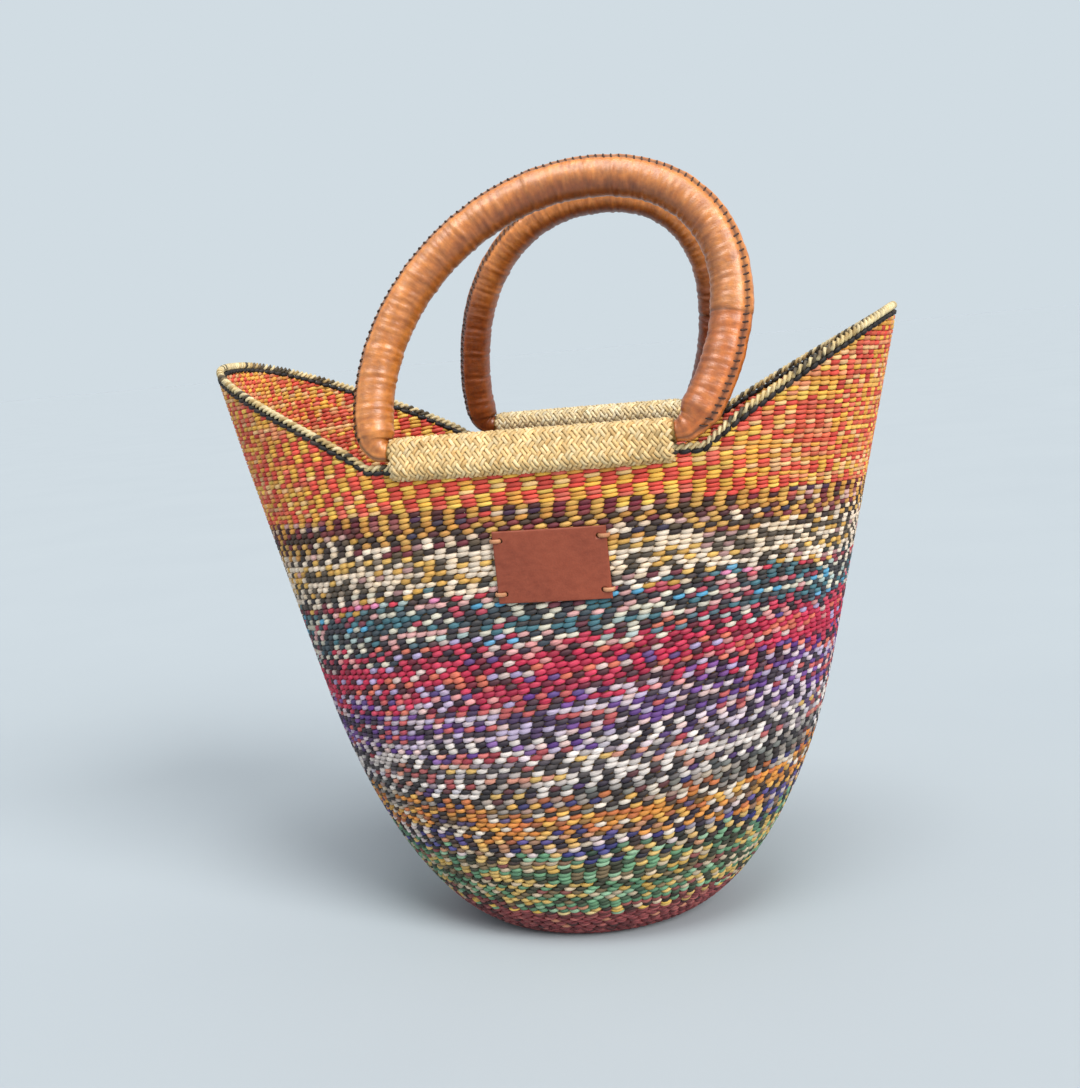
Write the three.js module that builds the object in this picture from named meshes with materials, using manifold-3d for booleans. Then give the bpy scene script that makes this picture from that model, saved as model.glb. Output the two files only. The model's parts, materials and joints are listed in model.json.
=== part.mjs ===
// Bolga basket: a twined straw shopper with two raised ends, two leather-covered hoop handles
// wound to the rim with straw, and a leather patch on the front.
// Millimetres. +X runs along the basket, -Y is the front, +Z is up, the origin is under the base.

import * as THREE from 'three';
import Module from 'manifold-3d';

// Wall: outer face
const TIP_HALF_LENGTH = 235;
const TIP_HALF_DEPTH = 120;
const TIP_HEIGHT = 403;
const DIP_HEIGHT = 332;
const FLARE_LENGTH = 0.24;
const FLARE_DEPTH = 0.055;
const BOWL_HEIGHT_ENDS = 170;
const BOWL_HEIGHT_FACES = 100;
const BASE_HALF_LENGTH = 64;
const BASE_HALF_DEPTH = 60;
const PLAN_EXPONENT_BASE = 2;
const PLAN_EXPONENT_RIM = 2.47;
const RIM_RISE_EXPONENT = 0.9;

// Rows of the weave: how far low rows curve up to both ends and high ones down to them, how far rows
// lean up to the right, and the heights over which they do so
const ROW_SWING = 10;
const ROW_SWING_HEIGHT = 174;
const ROW_LEAN = 17;
const ROW_LEAN_HEIGHT = 350;

// Layers of the wall, from the outer face inwards
const WEFT_THICKNESS = 2.7;
const WARP_THICKNESS = 3;
const FIT_GAP = 0.3;

// Rim
const RIM_ROLL_RADIUS = 2.8;
const RIM_ROLL_HALF_WIDTH = 3.2;
const ROLL_GAP = 0.6;
const BORDER_HEIGHT = 3;

// Weft bands: their heights at the middle of a face, from the base up
const RED_HEIGHT = 24;
const GREEN_HEIGHT = 43;
const NAVY_HEIGHT = 13;
const MARIGOLD_HEIGHT = 22;
const ASH_HEIGHT = 11;
const LOWER_CREAM_HEIGHT = 29;
const VIOLET_HEIGHT = 37;
const CRIMSON_HEIGHT = 34;
const TEAL_HEIGHT = 34;
const UPPER_CREAM_HEIGHT = 34;
const MAROON_HEIGHT = 20;

// Each band's height, colour and steps up the band; the last one goes up to the rim
const BANDS = [
  { name: 'red_band', height: RED_HEIGHT, color: 0x9b4a4c, steps: 3 },
  { name: 'green_band', height: GREEN_HEIGHT, color: 0x7f9a72, steps: 2 },
  { name: 'navy_band', height: NAVY_HEIGHT, color: 0x3a3b57, steps: 1 },
  { name: 'marigold_band', height: MARIGOLD_HEIGHT, color: 0xd08a3c, steps: 1 },
  { name: 'ash_band', height: ASH_HEIGHT, color: 0xa39c90, steps: 1 },
  { name: 'lower_cream_band', height: LOWER_CREAM_HEIGHT, color: 0xcfc3b4, steps: 1 },
  { name: 'violet_band', height: VIOLET_HEIGHT, color: 0x7a5d8c, steps: 1 },
  { name: 'crimson_band', height: CRIMSON_HEIGHT, color: 0xb33350, steps: 1 },
  { name: 'teal_band', height: TEAL_HEIGHT, color: 0x3c5357, steps: 1 },
  { name: 'upper_cream_band', height: UPPER_CREAM_HEIGHT, color: 0xd8c9ab, steps: 1 },
  { name: 'maroon_band', height: MAROON_HEIGHT, color: 0x5b3032, steps: 1 },
  { name: 'check_band', color: 0xd9722e, steps: 2 },
];

// Handles: each hoop is an arch over a straight bar, leaning in over the mouth. The setback is from the
// wall's outer face at the middle of the dip to the bar's axis.
const BAR_RADIUS = 6;
const BAR_SETBACK = 9.1;
const LEATHER_THICKNESS = 1.8;
const FOOT_BEND = 8;
const FOOT_CLEARANCE = 1;
const FOOT_TAPER_HEIGHT = 22;
const HOOP_LEAN = 14;
const FRONT_CENTRE = 11.6;
const FRONT_FOOT_HALF_SPAN = 98.6;
const FRONT_ARCH_HALF_WIDTH = 111;
const FRONT_ARCH_HEIGHT = 162.5;
const FRONT_SKEW = 42;
const FRONT_EXPONENT = 2.06;
const FRONT_SLEEVE_RADIUS = 12;
const BACK_CENTRE = 2.3;
const BACK_FOOT_HALF_SPAN = 81;
const BACK_ARCH_HALF_WIDTH = 90.8;
const BACK_ARCH_HEIGHT = 162;
const BACK_SKEW = 29;
const BACK_EXPONENT = 2.23;
const BACK_SLEEVE_RADIUS = 10.6;
const HANDLES = [
  {
    name: 'front',
    side: -1,
    centre: FRONT_CENTRE,
    footHalfSpan: FRONT_FOOT_HALF_SPAN,
    archHalfWidth: FRONT_ARCH_HALF_WIDTH,
    archHeight: FRONT_ARCH_HEIGHT,
    skew: FRONT_SKEW,
    exponent: FRONT_EXPONENT,
    sleeveRadius: FRONT_SLEEVE_RADIUS,
    color: 0xb9703f,
  },
  {
    name: 'back',
    side: 1,
    centre: BACK_CENTRE,
    footHalfSpan: BACK_FOOT_HALF_SPAN,
    archHalfWidth: BACK_ARCH_HALF_WIDTH,
    archHeight: BACK_ARCH_HEIGHT,
    skew: BACK_SKEW,
    exponent: BACK_EXPONENT,
    sleeveRadius: BACK_SLEEVE_RADIUS,
    color: 0x9c5a38,
  },
];

// Straw binding that winds each bar to the rim
const BINDING_LOOPS = 24;
const STRAW_THICKNESS = 2.2;
const STRAW_SPACING = 0.9;
const BINDING_CLEARANCE = 0.5;
const TUCK_LENGTH = 4;

// Leather patch
const PATCH_WIDTH = 72;
const PATCH_HEIGHT = 46;
const PATCH_THICKNESS = 2;
const PATCH_CENTRE_X = 20.5;
const PATCH_CENTRE_Z = 262;
const TIE_RADIUS = 0.9;
const TIE_HOLE_RADIUS = 1.6;
const TIE_INSET_SIDE = 5;
const TIE_INSET_TOP = 6;

// Colours of the plain pieces, and roughness of straw and leather
const BASE_COLOR = 0x9b4a4c;
const STAKE_COLOR = 0xc9ae78;
const BORDER_COLOR = 0x2a2523;
const ROLL_COLOR = 0xd9c79c;
const CORE_COLOR = 0xbfa065;
const BINDING_COLOR = 0xe2d2a4;
const PATCH_COLOR = 0x8c4f36;
const TIE_COLOR = 0xc58a55;
const STRAW_ROUGHNESS = 0.8;
const LEATHER_ROUGHNESS = 0.55;

// Facets
const COLUMNS_END = 6;
const COLUMNS_HANDLE = 5;
const HOOP_STEPS = 26;
const FOOT_STEPS = 3;
const BAR_STEPS = 2;
const CORE_SIDES = 8;
const SLEEVE_SIDES = 10;
const LOOP_STEPS = 10;
const ROLL_SIDES = 6;
const PATCH_COLUMNS = 8;
const PATCH_ROWS = 3;
const HOLE_SIDES = 8;
const TIE_SIDES = 6;

const WALL_THICKNESS = WEFT_THICKNESS + FIT_GAP + WARP_THICKNESS;
const ROLL_DROP = RIM_ROLL_RADIUS;
const BORDER_TOP_DROP = 2 * RIM_ROLL_RADIUS + ROLL_GAP;
const BORDER_FOOT_DROP = BORDER_TOP_DROP + BORDER_HEIGHT;
const RIM_BUNDLE_DROP = BORDER_FOOT_DROP / 2;
const RIM_BUNDLE_RADIUS = Math.hypot(WALL_THICKNESS, BORDER_FOOT_DROP) / 2;
const BELT_RIM_RADIUS = RIM_BUNDLE_RADIUS + BINDING_CLEARANCE + STRAW_THICKNESS / 2;
const BELT_BAR_RADIUS = BAR_RADIUS + BINDING_CLEARANCE + STRAW_THICKNESS / 2;
const BELT_FOOT_DROP = RIM_BUNDLE_DROP + BELT_RIM_RADIUS / Math.cos(Math.PI / LOOP_STEPS);
const SLOT_FOOT_DROP = BELT_FOOT_DROP + STRAW_THICKNESS / 2 + BINDING_CLEARANCE;
const SLOT_END_MARGIN = 4;
const SLOT_RAMP = 3;
const BAR_HEIGHT = DIP_HEIGHT - ROLL_DROP + RIM_ROLL_RADIUS + BINDING_CLEARANCE + BAR_RADIUS;
const DIP_MARGIN = 10;
const EDGE_PASSES = 8;
const DERIVATIVE_STEP = 0.001;
const RADIANS = Math.PI / 180;

const wasm = await Module();
wasm.setup();

const basket = new THREE.Group();

// Solids from grids of points

function solidGeometry(points, triangles) {
  const corner = [0, 1, 2].map(() => new THREE.Vector3());
  let volume = 0;
  for (let i = 0; i < triangles.length; i += 3) {
    corner.forEach((vertex, k) => vertex.copy(points[triangles[i + k]]));
    volume += corner[0].dot(corner[1].cross(corner[2]));
  }
  const facingOut = volume > 0 ? triangles : [...triangles].reverse();
  const geometry = new THREE.BufferGeometry().setFromPoints(points);
  geometry.setIndex(facingOut);
  geometry.computeVertexNormals();
  return geometry;
}

function stripTriangles(sections, closed) {
  const count = sections[0].length;
  const triangles = [];
  const strips = closed ? sections.length : sections.length - 1;
  for (let s = 0; s < strips; s += 1) {
    const here = s * count;
    const next = ((s + 1) % sections.length) * count;
    for (let k = 0; k < count; k += 1) {
      const after = (k + 1) % count;
      triangles.push(here + k, here + after, next + after);
      triangles.push(here + k, next + after, next + k);
    }
  }
  return triangles;
}

// A ring-shaped solid: closed sections joined in a closed loop
function ringSolid(sections) {
  return solidGeometry(sections.flat(), stripTriangles(sections, true));
}

// A rod- or cup-shaped solid: closed sections in a row, with a fan over each end
function rowSolid(sections) {
  const count = sections[0].length;
  const points = sections.flat();
  const triangles = stripTriangles(sections, false);
  const lastStart = (sections.length - 1) * count;
  for (const [start, isFirst] of [[0, true], [lastStart, false]]) {
    const middle = new THREE.Vector3();
    for (let k = 0; k < count; k += 1) {
      middle.addScaledVector(points[start + k], 1 / count);
    }
    const hub = points.push(middle) - 1;
    for (let k = 0; k < count; k += 1) {
      const here = start + k;
      const after = start + ((k + 1) % count);
      triangles.push(hub, ...(isFirst ? [after, here] : [here, after]));
    }
  }
  return solidGeometry(points, triangles);
}

function addPiece(name, geometry, color, roughness) {
  const material = new THREE.MeshStandardMaterial({ color, roughness, metalness: 0 });
  const mesh = new THREE.Mesh(geometry, material);
  mesh.name = name;
  basket.add(mesh);
}

// The wall's outer face

function bowl(z, tipSpan, flare, baseSpan, bowlHeight) {
  const straight = tipSpan - flare * (TIP_HEIGHT - z);
  const foot = tipSpan - flare * TIP_HEIGHT;
  const depth = Math.max(0, 1 - z / bowlHeight);
  return straight - (foot - baseSpan) * (1 - Math.sqrt(1 - depth * depth));
}

function halfLength(z) {
  return bowl(z, TIP_HALF_LENGTH, FLARE_LENGTH, BASE_HALF_LENGTH, BOWL_HEIGHT_ENDS);
}

function halfDepth(z) {
  return bowl(z, TIP_HALF_DEPTH, FLARE_DEPTH, BASE_HALF_DEPTH, BOWL_HEIGHT_FACES);
}

function planExponent(z) {
  const share = Math.min(1, z / DIP_HEIGHT);
  return PLAN_EXPONENT_BASE + (PLAN_EXPONENT_RIM - PLAN_EXPONENT_BASE) * share;
}

function signedPower(value, exponent) {
  return Math.sign(value) * Math.abs(value) ** exponent;
}

function outerPoint(angle, z) {
  const power = 2 / planExponent(z);
  return new THREE.Vector3(
    halfLength(z) * signedPower(Math.cos(angle), power),
    halfDepth(z) * signedPower(Math.sin(angle), power),
    z,
  );
}

// A point of the wall, moved in from the outer face by a depth
function wallPoint(angle, z, inset) {
  const point = outerPoint(angle, z);
  const around = outerPoint(angle + DERIVATIVE_STEP, z).sub(outerPoint(angle - DERIVATIVE_STEP, z));
  const up = outerPoint(angle, z + DERIVATIVE_STEP).sub(point);
  const outward = around.cross(up).normalize();
  return point.addScaledVector(outward, -inset);
}

// The angle of the wall point that lies at x on the front or back at height z
function angleAt(x, z, side) {
  const angle = Math.acos(signedPower(x / halfLength(z), planExponent(z) / 2));
  return side * angle;
}

// Rows of the weave and the rim's edge

function dipHalfSpan(handle) {
  return handle.footHalfSpan + DIP_MARGIN;
}

function handleAt(angle) {
  return Math.sin(angle) < 0 ? HANDLES[0] : HANDLES[1];
}

function edgeHeight(angle) {
  const handle = handleAt(angle);
  let height = DIP_HEIGHT;
  for (let pass = 0; pass < EDGE_PASSES; pass += 1) {
    const x = outerPoint(angle, height).x;
    const dipEnd = handle.centre + Math.sign(x - handle.centre) * dipHalfSpan(handle);
    const tip = Math.sign(x - handle.centre) * TIP_HALF_LENGTH;
    const share = THREE.MathUtils.clamp((x - dipEnd) / (tip - dipEnd), 0, 1);
    height = DIP_HEIGHT + (TIP_HEIGHT - DIP_HEIGHT) * share ** RIM_RISE_EXPONENT;
  }
  return height;
}

// A row's height at an angle round the basket, from its height at the middle of a face
function rowHeight(atMiddle, angle) {
  const swingTurn = Math.min((Math.PI * atMiddle) / ROW_SWING_HEIGHT, 1.5 * Math.PI);
  const leanTurn = Math.min((Math.PI * atMiddle) / ROW_LEAN_HEIGHT, Math.PI);
  const swing = ROW_SWING * Math.sin(swingTurn) * Math.cos(angle) ** 2;
  const lean = ROW_LEAN * Math.sin(leanTurn) ** 2 * Math.cos(angle);
  return atMiddle + swing + lean;
}

function bindingHalfSpan(handle) {
  return handle.footHalfSpan - FOOT_BEND - FOOT_CLEARANCE;
}

// Columns over one handle's half of the wall, from the right tip to the left tip, with columns at the
// ends of the dip and at the ends of the slot that the binding passes through
function handleColumns(handle) {
  const open = bindingHalfSpan(handle) + SLOT_END_MARGIN;
  const closed = open + SLOT_RAMP;
  const dip = dipHalfSpan(handle);
  const spans = [dip, closed, open, -open, -closed, -dip];
  const stops = [0, ...spans.map((span) => angleAt(handle.centre + span, DIP_HEIGHT, 1)), Math.PI];
  const counts = [COLUMNS_END, 1, 1, COLUMNS_HANDLE, 1, 1, COLUMNS_END];
  const [openFrom, openTo] = [stops[3], stops[4]];
  const columns = [];
  counts.forEach((count, span) => {
    for (let k = 0; k < count; k += 1) {
      const angle = THREE.MathUtils.lerp(stops[span], stops[span + 1], k / count);
      columns.push({ angle, open: angle >= openFrom && angle <= openTo });
    }
  });
  return columns;
}

function wallColumns() {
  const [front, back] = HANDLES.map(handleColumns);
  const leftTip = { angle: Math.PI, open: false };
  const mirrored = front.slice(1).reverse().map(({ angle, open }) => ({ angle: -angle, open }));
  return [...back, leftTip, ...mirrored];
}

const COLUMNS = wallColumns();

function wallTop(column) {
  const drop = column.open ? SLOT_FOOT_DROP : BORDER_FOOT_DROP + FIT_GAP;
  return edgeHeight(column.angle) - drop;
}

// A band's lower edge at the middle of a face: the bands below it stand on each other
function bandFoot(index) {
  return BANDS.slice(0, index).reduce((sum, band) => sum + band.height, 0);
}

// Heights of a band's rows in one column, from its lower to its upper edge
function bandRows(index, column) {
  const band = BANDS[index];
  const isTop = index === BANDS.length - 1;
  const low = rowHeight(bandFoot(index), column.angle);
  const high = isTop ? wallTop(column) : rowHeight(bandFoot(index + 1), column.angle);
  const rows = [];
  for (let k = 0; k <= band.steps; k += 1) {
    const share = index === 0 ? (k / band.steps) ** 2 : k / band.steps;
    rows.push(THREE.MathUtils.lerp(low, high, share));
  }
  return rows;
}

// A closed section of the wall in one column, between two depths
function wallSection(column, rows, outerInset, innerInset) {
  const outer = rows.map((z) => wallPoint(column.angle, z, outerInset));
  const inner = rows.map((z) => wallPoint(column.angle, z, innerInset)).reverse();
  return [...outer, ...inner];
}

// Weave

function addWarp() {
  const outerInset = WEFT_THICKNESS + FIT_GAP;
  const columnRows = COLUMNS.map((column) => {
    const rows = BANDS.flatMap((band, index) => bandRows(index, column).slice(0, -1));
    return [...rows, wallTop(column)];
  });
  const ring = (level, inset) => (
    COLUMNS.map((column, j) => wallPoint(column.angle, columnRows[j][level], inset))
  );
  const levels = columnRows[0].map((row, level) => level);
  const outside = levels.map((level) => ring(level, outerInset));
  const inside = levels.map((level) => ring(level, WALL_THICKNESS)).reverse();
  addPiece('warp_stakes', rowSolid([...outside, ...inside]), STAKE_COLOR, STRAW_ROUGHNESS);
}

function addBand(index) {
  const isTop = index === BANDS.length - 1;
  const halfGap = FIT_GAP / 2;
  const sections = COLUMNS.map((column) => {
    const rows = bandRows(index, column);
    rows[0] += halfGap;
    rows[rows.length - 1] -= isTop ? 0 : halfGap;
    return wallSection(column, rows, 0, WEFT_THICKNESS);
  });
  addPiece(BANDS[index].name, ringSolid(sections), BANDS[index].color, STRAW_ROUGHNESS);
}

function addBase() {
  const edge = (height, inset) => COLUMNS.map((column) => {
    const point = outerPoint(column.angle, 0);
    const shrink = 1 - inset / point.length();
    return point.multiplyScalar(shrink).setZ(height);
  });
  const sections = [edge(0, FIT_GAP), edge(WEFT_THICKNESS, FIT_GAP)];
  addPiece('base_disc', rowSolid(sections), BASE_COLOR, STRAW_ROUGHNESS);
}

function addBorder() {
  const sections = COLUMNS.map((column) => {
    const edge = edgeHeight(column.angle);
    return wallSection(column, [edge - BORDER_FOOT_DROP, edge - BORDER_TOP_DROP], 0, WALL_THICKNESS);
  });
  addPiece('black_border', ringSolid(sections), BORDER_COLOR, STRAW_ROUGHNESS);
}

function rollCentre(angle) {
  return wallPoint(angle, edgeHeight(angle) - ROLL_DROP, WALL_THICKNESS / 2);
}

function addRoll() {
  const sections = COLUMNS.map(({ angle }) => {
    const centre = rollCentre(angle);
    const across = wallPoint(angle, centre.z, 0).sub(wallPoint(angle, centre.z, WALL_THICKNESS)).normalize();
    const up = new THREE.Vector3(0, 0, 1).projectOnPlane(across).normalize();
    const section = [];
    for (let k = 0; k < ROLL_SIDES; k += 1) {
      const turn = (2 * Math.PI * k) / ROLL_SIDES + Math.PI / 2;
      section.push(centre.clone()
        .addScaledVector(across, RIM_ROLL_HALF_WIDTH * Math.cos(turn))
        .addScaledVector(up, RIM_ROLL_RADIUS * Math.sin(turn)));
    }
    return section;
  });
  addPiece('rim_roll', ringSolid(sections), ROLL_COLOR, STRAW_ROUGHNESS);
}

// Handles

// The hoop's centre line in its own plane, as x along the bar and h up from it, from foot to foot
function archPoint(handle, share) {
  const power = 2 / handle.exponent;
  const footCosine = (handle.footHalfSpan / handle.archHalfWidth) ** (1 / power);
  const footAngle = Math.acos(footCosine);
  const footSine = Math.sin(footAngle) ** power;
  const rise = handle.archHeight / (1 + footSine);
  const turn = THREE.MathUtils.lerp(-footAngle, Math.PI + footAngle, share);
  const h = rise * (footSine + signedPower(Math.sin(turn), power));
  const shift = (handle.skew * h) / handle.archHeight;
  const x = handle.centre + handle.archHalfWidth * signedPower(Math.cos(turn), power) + shift;
  return new THREE.Vector2(x, h);
}

function footCurve(handle, share, inward) {
  const foot = archPoint(handle, share);
  const leg = archPoint(handle, share === 0 ? DERIVATIVE_STEP : 1 - DERIVATIVE_STEP).sub(foot).normalize();
  const top = foot.clone().addScaledVector(leg, FOOT_BEND);
  const end = foot.clone().setX(foot.x + inward * FOOT_BEND);
  return new THREE.QuadraticBezierCurve(top, foot, end);
}

// The whole closed centre line: right foot, arch, left foot, bar
function hoopLine(handle) {
  const right = footCurve(handle, 0, -1);
  const left = footCurve(handle, 1, 1);
  const line = [];
  for (let k = 0; k < FOOT_STEPS; k += 1) {
    line.push(right.getPoint(1 - k / FOOT_STEPS));
  }
  for (let k = 0; k <= HOOP_STEPS; k += 1) {
    const point = archPoint(handle, k / HOOP_STEPS);
    if (point.y > right.v0.y) {
      line.push(point);
    }
  }
  for (let k = 0; k < FOOT_STEPS; k += 1) {
    line.push(left.getPoint(k / FOOT_STEPS));
  }
  for (let k = 0; k < BAR_STEPS; k += 1) {
    line.push(left.v2.clone().lerp(right.v2, k / BAR_STEPS));
  }
  return line;
}

function coreRadius(handle, h) {
  const full = handle.sleeveRadius - LEATHER_THICKNESS - FIT_GAP;
  return THREE.MathUtils.lerp(BAR_RADIUS, full, THREE.MathUtils.smoothstep(h, 0, FOOT_TAPER_HEIGHT));
}

// How far the bars lie from the middle of the basket
function barOffset() {
  return halfDepth(DIP_HEIGHT) - BAR_SETBACK;
}

// Places a point of the hoop's plane, with an offset square to the plane, in the basket
function hoopPoint(handle, flat, square) {
  const lean = HOOP_LEAN * RADIANS;
  return new THREE.Vector3(
    flat.x,
    handle.side * (barOffset() - flat.y * Math.sin(lean) + square * Math.cos(lean)),
    BAR_HEIGHT + flat.y * Math.cos(lean) + square * Math.sin(lean),
  );
}

function hoopRing(handle, line, index, radius, sides) {
  const before = line[(index + line.length - 1) % line.length];
  const after = line[(index + 1) % line.length];
  const along = after.clone().sub(before).normalize();
  const across = new THREE.Vector2(-along.y, along.x);
  const ring = [];
  for (let k = 0; k < sides; k += 1) {
    const turn = (2 * Math.PI * (k + 0.5)) / sides;
    const flat = line[index].clone().addScaledVector(across, radius * Math.cos(turn));
    ring.push(hoopPoint(handle, flat, radius * Math.sin(turn)));
  }
  return ring;
}

function addHandle(handle) {
  const line = hoopLine(handle);
  const core = line.map((point, index) => (
    hoopRing(handle, line, index, coreRadius(handle, point.y), CORE_SIDES)
  ));
  addPiece(`${handle.name}_handle_core`, ringSolid(core), CORE_COLOR, STRAW_ROUGHNESS);

  const firstLeg = FOOT_STEPS - 1;
  const lastLeg = line.length - BAR_STEPS - FOOT_STEPS + 1;
  const stations = line.map((point, index) => index).slice(firstLeg, lastLeg + 1);
  const facetAllowance = 1 / Math.cos(Math.PI / CORE_SIDES);
  const shell = (outer) => stations.map((index) => {
    const bore = (coreRadius(handle, line[index].y) + FIT_GAP) * facetAllowance;
    return hoopRing(handle, line, index, outer ? bore + LEATHER_THICKNESS : bore, SLEEVE_SIDES);
  });
  const outside = shell(true);
  const inside = shell(false).reverse();
  const rings = [...outside, ...inside];
  const sections = outside[0].map((point, side) => rings.map((ring) => ring[side]));
  addPiece(`${handle.name}_handle_leather`, ringSolid(sections), handle.color, LEATHER_ROUGHNESS);
}

// Straw binding: one flat straw wound round the bar and the rim together

// A corner of the belt's centre line at x: where the lines that touch the bar's and the rim's circles,
// half a step before and half a step after a turn about X, cross
function beltPoint(handle, x, turn) {
  const rim = rollCentre(angleAt(x, DIP_HEIGHT, handle.side));
  const circles = [
    { y: handle.side * barOffset(), z: BAR_HEIGHT, radius: BELT_BAR_RADIUS },
    { y: rim.y, z: DIP_HEIGHT - RIM_BUNDLE_DROP, radius: BELT_RIM_RADIUS },
  ];
  const reach = (way) => Math.max(...circles.map(({ y, z, radius }) => (
    y * Math.cos(way) + z * Math.sin(way) + radius
  )));
  const step = (2 * Math.PI) / LOOP_STEPS;
  const [before, after] = [turn - step / 2, turn + step / 2];
  const [reachBefore, reachAfter] = [reach(before), reach(after)];
  return new THREE.Vector3(
    x,
    (reachBefore * Math.sin(after) - reachAfter * Math.sin(before)) / Math.sin(step),
    (reachAfter * Math.cos(before) - reachBefore * Math.cos(after)) / Math.sin(step),
  );
}

function bindingLine(handle, pitch, width) {
  const start = handle.centre - bindingHalfSpan(handle) + width / 2;
  const stations = [];
  for (let k = 0; k <= BINDING_LOOPS * LOOP_STEPS; k += 1) {
    const turn = (2 * Math.PI * k) / LOOP_STEPS - Math.PI / 2;
    const x = start + (pitch * k) / LOOP_STEPS;
    const outward = new THREE.Vector3(0, Math.cos(turn), Math.sin(turn));
    stations.push({ point: beltPoint(handle, x, turn), outward });
  }
  const tuck = (station, way) => ({
    point: station.point.clone().add(new THREE.Vector3(0, way * TUCK_LENGTH, 0)),
    outward: station.outward,
  });
  return [tuck(stations[0], -1), ...stations, tuck(stations.at(-1), 1)];
}

function leastGapToItself(sections) {
  let least = Infinity;
  const nextLoop = Math.floor(LOOP_STEPS / 2);
  for (let a = 0; a < sections.length; a += 1) {
    for (let b = a + nextLoop; b < Math.min(sections.length, a + 2 * LOOP_STEPS); b += 1) {
      for (const from of sections[a]) {
        for (const to of sections[b]) {
          least = Math.min(least, from.distanceTo(to));
        }
      }
    }
  }
  return least;
}

function addBinding(handle) {
  const span = 2 * bindingHalfSpan(handle);
  const pitch = (span + STRAW_SPACING) / (BINDING_LOOPS + 1);
  const width = pitch - STRAW_SPACING;
  const line = bindingLine(handle, pitch, width);
  const sections = line.map(({ point, outward }, index) => {
    const before = line[Math.max(0, index - 1)].point;
    const after = line[Math.min(line.length - 1, index + 1)].point;
    const across = after.clone().sub(before).cross(outward).normalize();
    const corners = [[1, 1], [1, -1], [-1, -1], [-1, 1]];
    return corners.map(([aside, out]) => point.clone()
      .addScaledVector(across, (aside * width) / 2)
      .addScaledVector(outward, (out * STRAW_THICKNESS) / 2));
  });
  const gap = leastGapToItself(sections);
  console.log(`${handle.name} binding: least gap to itself ${gap.toFixed(2)} mm`);
  addPiece(`${handle.name}_binding`, rowSolid(sections), BINDING_COLOR, STRAW_ROUGHNESS);
}

// Leather patch and its ties

function frontPoint(x, z, stand) {
  return wallPoint(angleAt(x, z, -1), z, -stand);
}

function manifoldOf(geometry) {
  return new wasm.Manifold(new wasm.Mesh({
    numProp: 3,
    vertProperties: new Float32Array(geometry.attributes.position.array),
    triVerts: new Uint32Array(geometry.index.array),
  }));
}

function geometryOf(manifold) {
  const mesh = manifold.getMesh();
  const geometry = new THREE.BufferGeometry();
  geometry.setAttribute('position', new THREE.BufferAttribute(mesh.vertProperties, 3));
  geometry.setIndex(new THREE.BufferAttribute(mesh.triVerts, 1));
  geometry.computeVertexNormals();
  return geometry;
}

function tieCorners() {
  const spanX = PATCH_WIDTH / 2 - TIE_INSET_SIDE;
  const spanZ = PATCH_HEIGHT / 2 - TIE_INSET_TOP;
  const corners = [];
  for (const aside of [-1, 1]) {
    for (const up of [-1, 1]) {
      corners.push({ aside, x: PATCH_CENTRE_X + aside * spanX, z: PATCH_CENTRE_Z + up * spanZ });
    }
  }
  return corners;
}

// A round rod through a row of points, with a direction that stays to its side
function rodSolid(points, sides, radius, side) {
  const sections = points.map((point, index) => {
    const before = points[Math.max(0, index - 1)];
    const after = points[Math.min(points.length - 1, index + 1)];
    const along = after.clone().sub(before).normalize();
    const across = new THREE.Vector3().crossVectors(along, side).normalize();
    const section = [];
    for (let k = 0; k < sides; k += 1) {
      const turn = (2 * Math.PI * k) / sides;
      section.push(point.clone()
        .addScaledVector(across, radius * Math.cos(turn))
        .addScaledVector(side, radius * Math.sin(turn)));
    }
    return section;
  });
  return rowSolid(sections);
}

function addPatch() {
  const left = PATCH_CENTRE_X - PATCH_WIDTH / 2;
  const foot = PATCH_CENTRE_Z - PATCH_HEIGHT / 2;
  const sections = [];
  for (let i = 0; i <= PATCH_COLUMNS; i += 1) {
    const x = left + (PATCH_WIDTH * i) / PATCH_COLUMNS;
    const heights = [];
    for (let k = 0; k <= PATCH_ROWS; k += 1) {
      heights.push(foot + (PATCH_HEIGHT * k) / PATCH_ROWS);
    }
    const back = heights.map((z) => frontPoint(x, z, FIT_GAP));
    const face = heights.map((z) => frontPoint(x, z, FIT_GAP + PATCH_THICKNESS)).reverse();
    sections.push([...back, ...face]);
  }
  let patch = manifoldOf(rowSolid(sections));
  for (const corner of tieCorners()) {
    const ends = [FIT_GAP - PATCH_THICKNESS, FIT_GAP + 2 * PATCH_THICKNESS];
    const axis = ends.map((stand) => frontPoint(corner.x, corner.z, stand));
    const drill = rodSolid(axis, HOLE_SIDES, TIE_HOLE_RADIUS, new THREE.Vector3(1, 0, 0));
    patch = patch.subtract(manifoldOf(drill));
  }
  addPiece('leather_patch', geometryOf(patch), PATCH_COLOR, LEATHER_ROUGHNESS);
}

function addTies() {
  tieCorners().forEach((corner, index) => {
    const overEdge = corner.aside * (TIE_INSET_SIDE + TIE_RADIUS + FIT_GAP);
    const stand = PATCH_THICKNESS + 2 * FIT_GAP + TIE_RADIUS;
    const points = [
      frontPoint(corner.x, corner.z, FIT_GAP),
      frontPoint(corner.x, corner.z, stand),
      frontPoint(corner.x + overEdge, corner.z, stand),
      frontPoint(corner.x + overEdge, corner.z, FIT_GAP),
    ];
    const lace = rodSolid(points, TIE_SIDES, TIE_RADIUS, new THREE.Vector3(0, 0, 1));
    addPiece(`patch_tie_${index + 1}`, lace, TIE_COLOR, LEATHER_ROUGHNESS);
  });
}

addBase();
addWarp();
BANDS.forEach((band, index) => addBand(index));
addBorder();
addRoll();
HANDLES.forEach(addHandle);
HANDLES.forEach(addBinding);
addPatch();
addTies();

export default basket;
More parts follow.
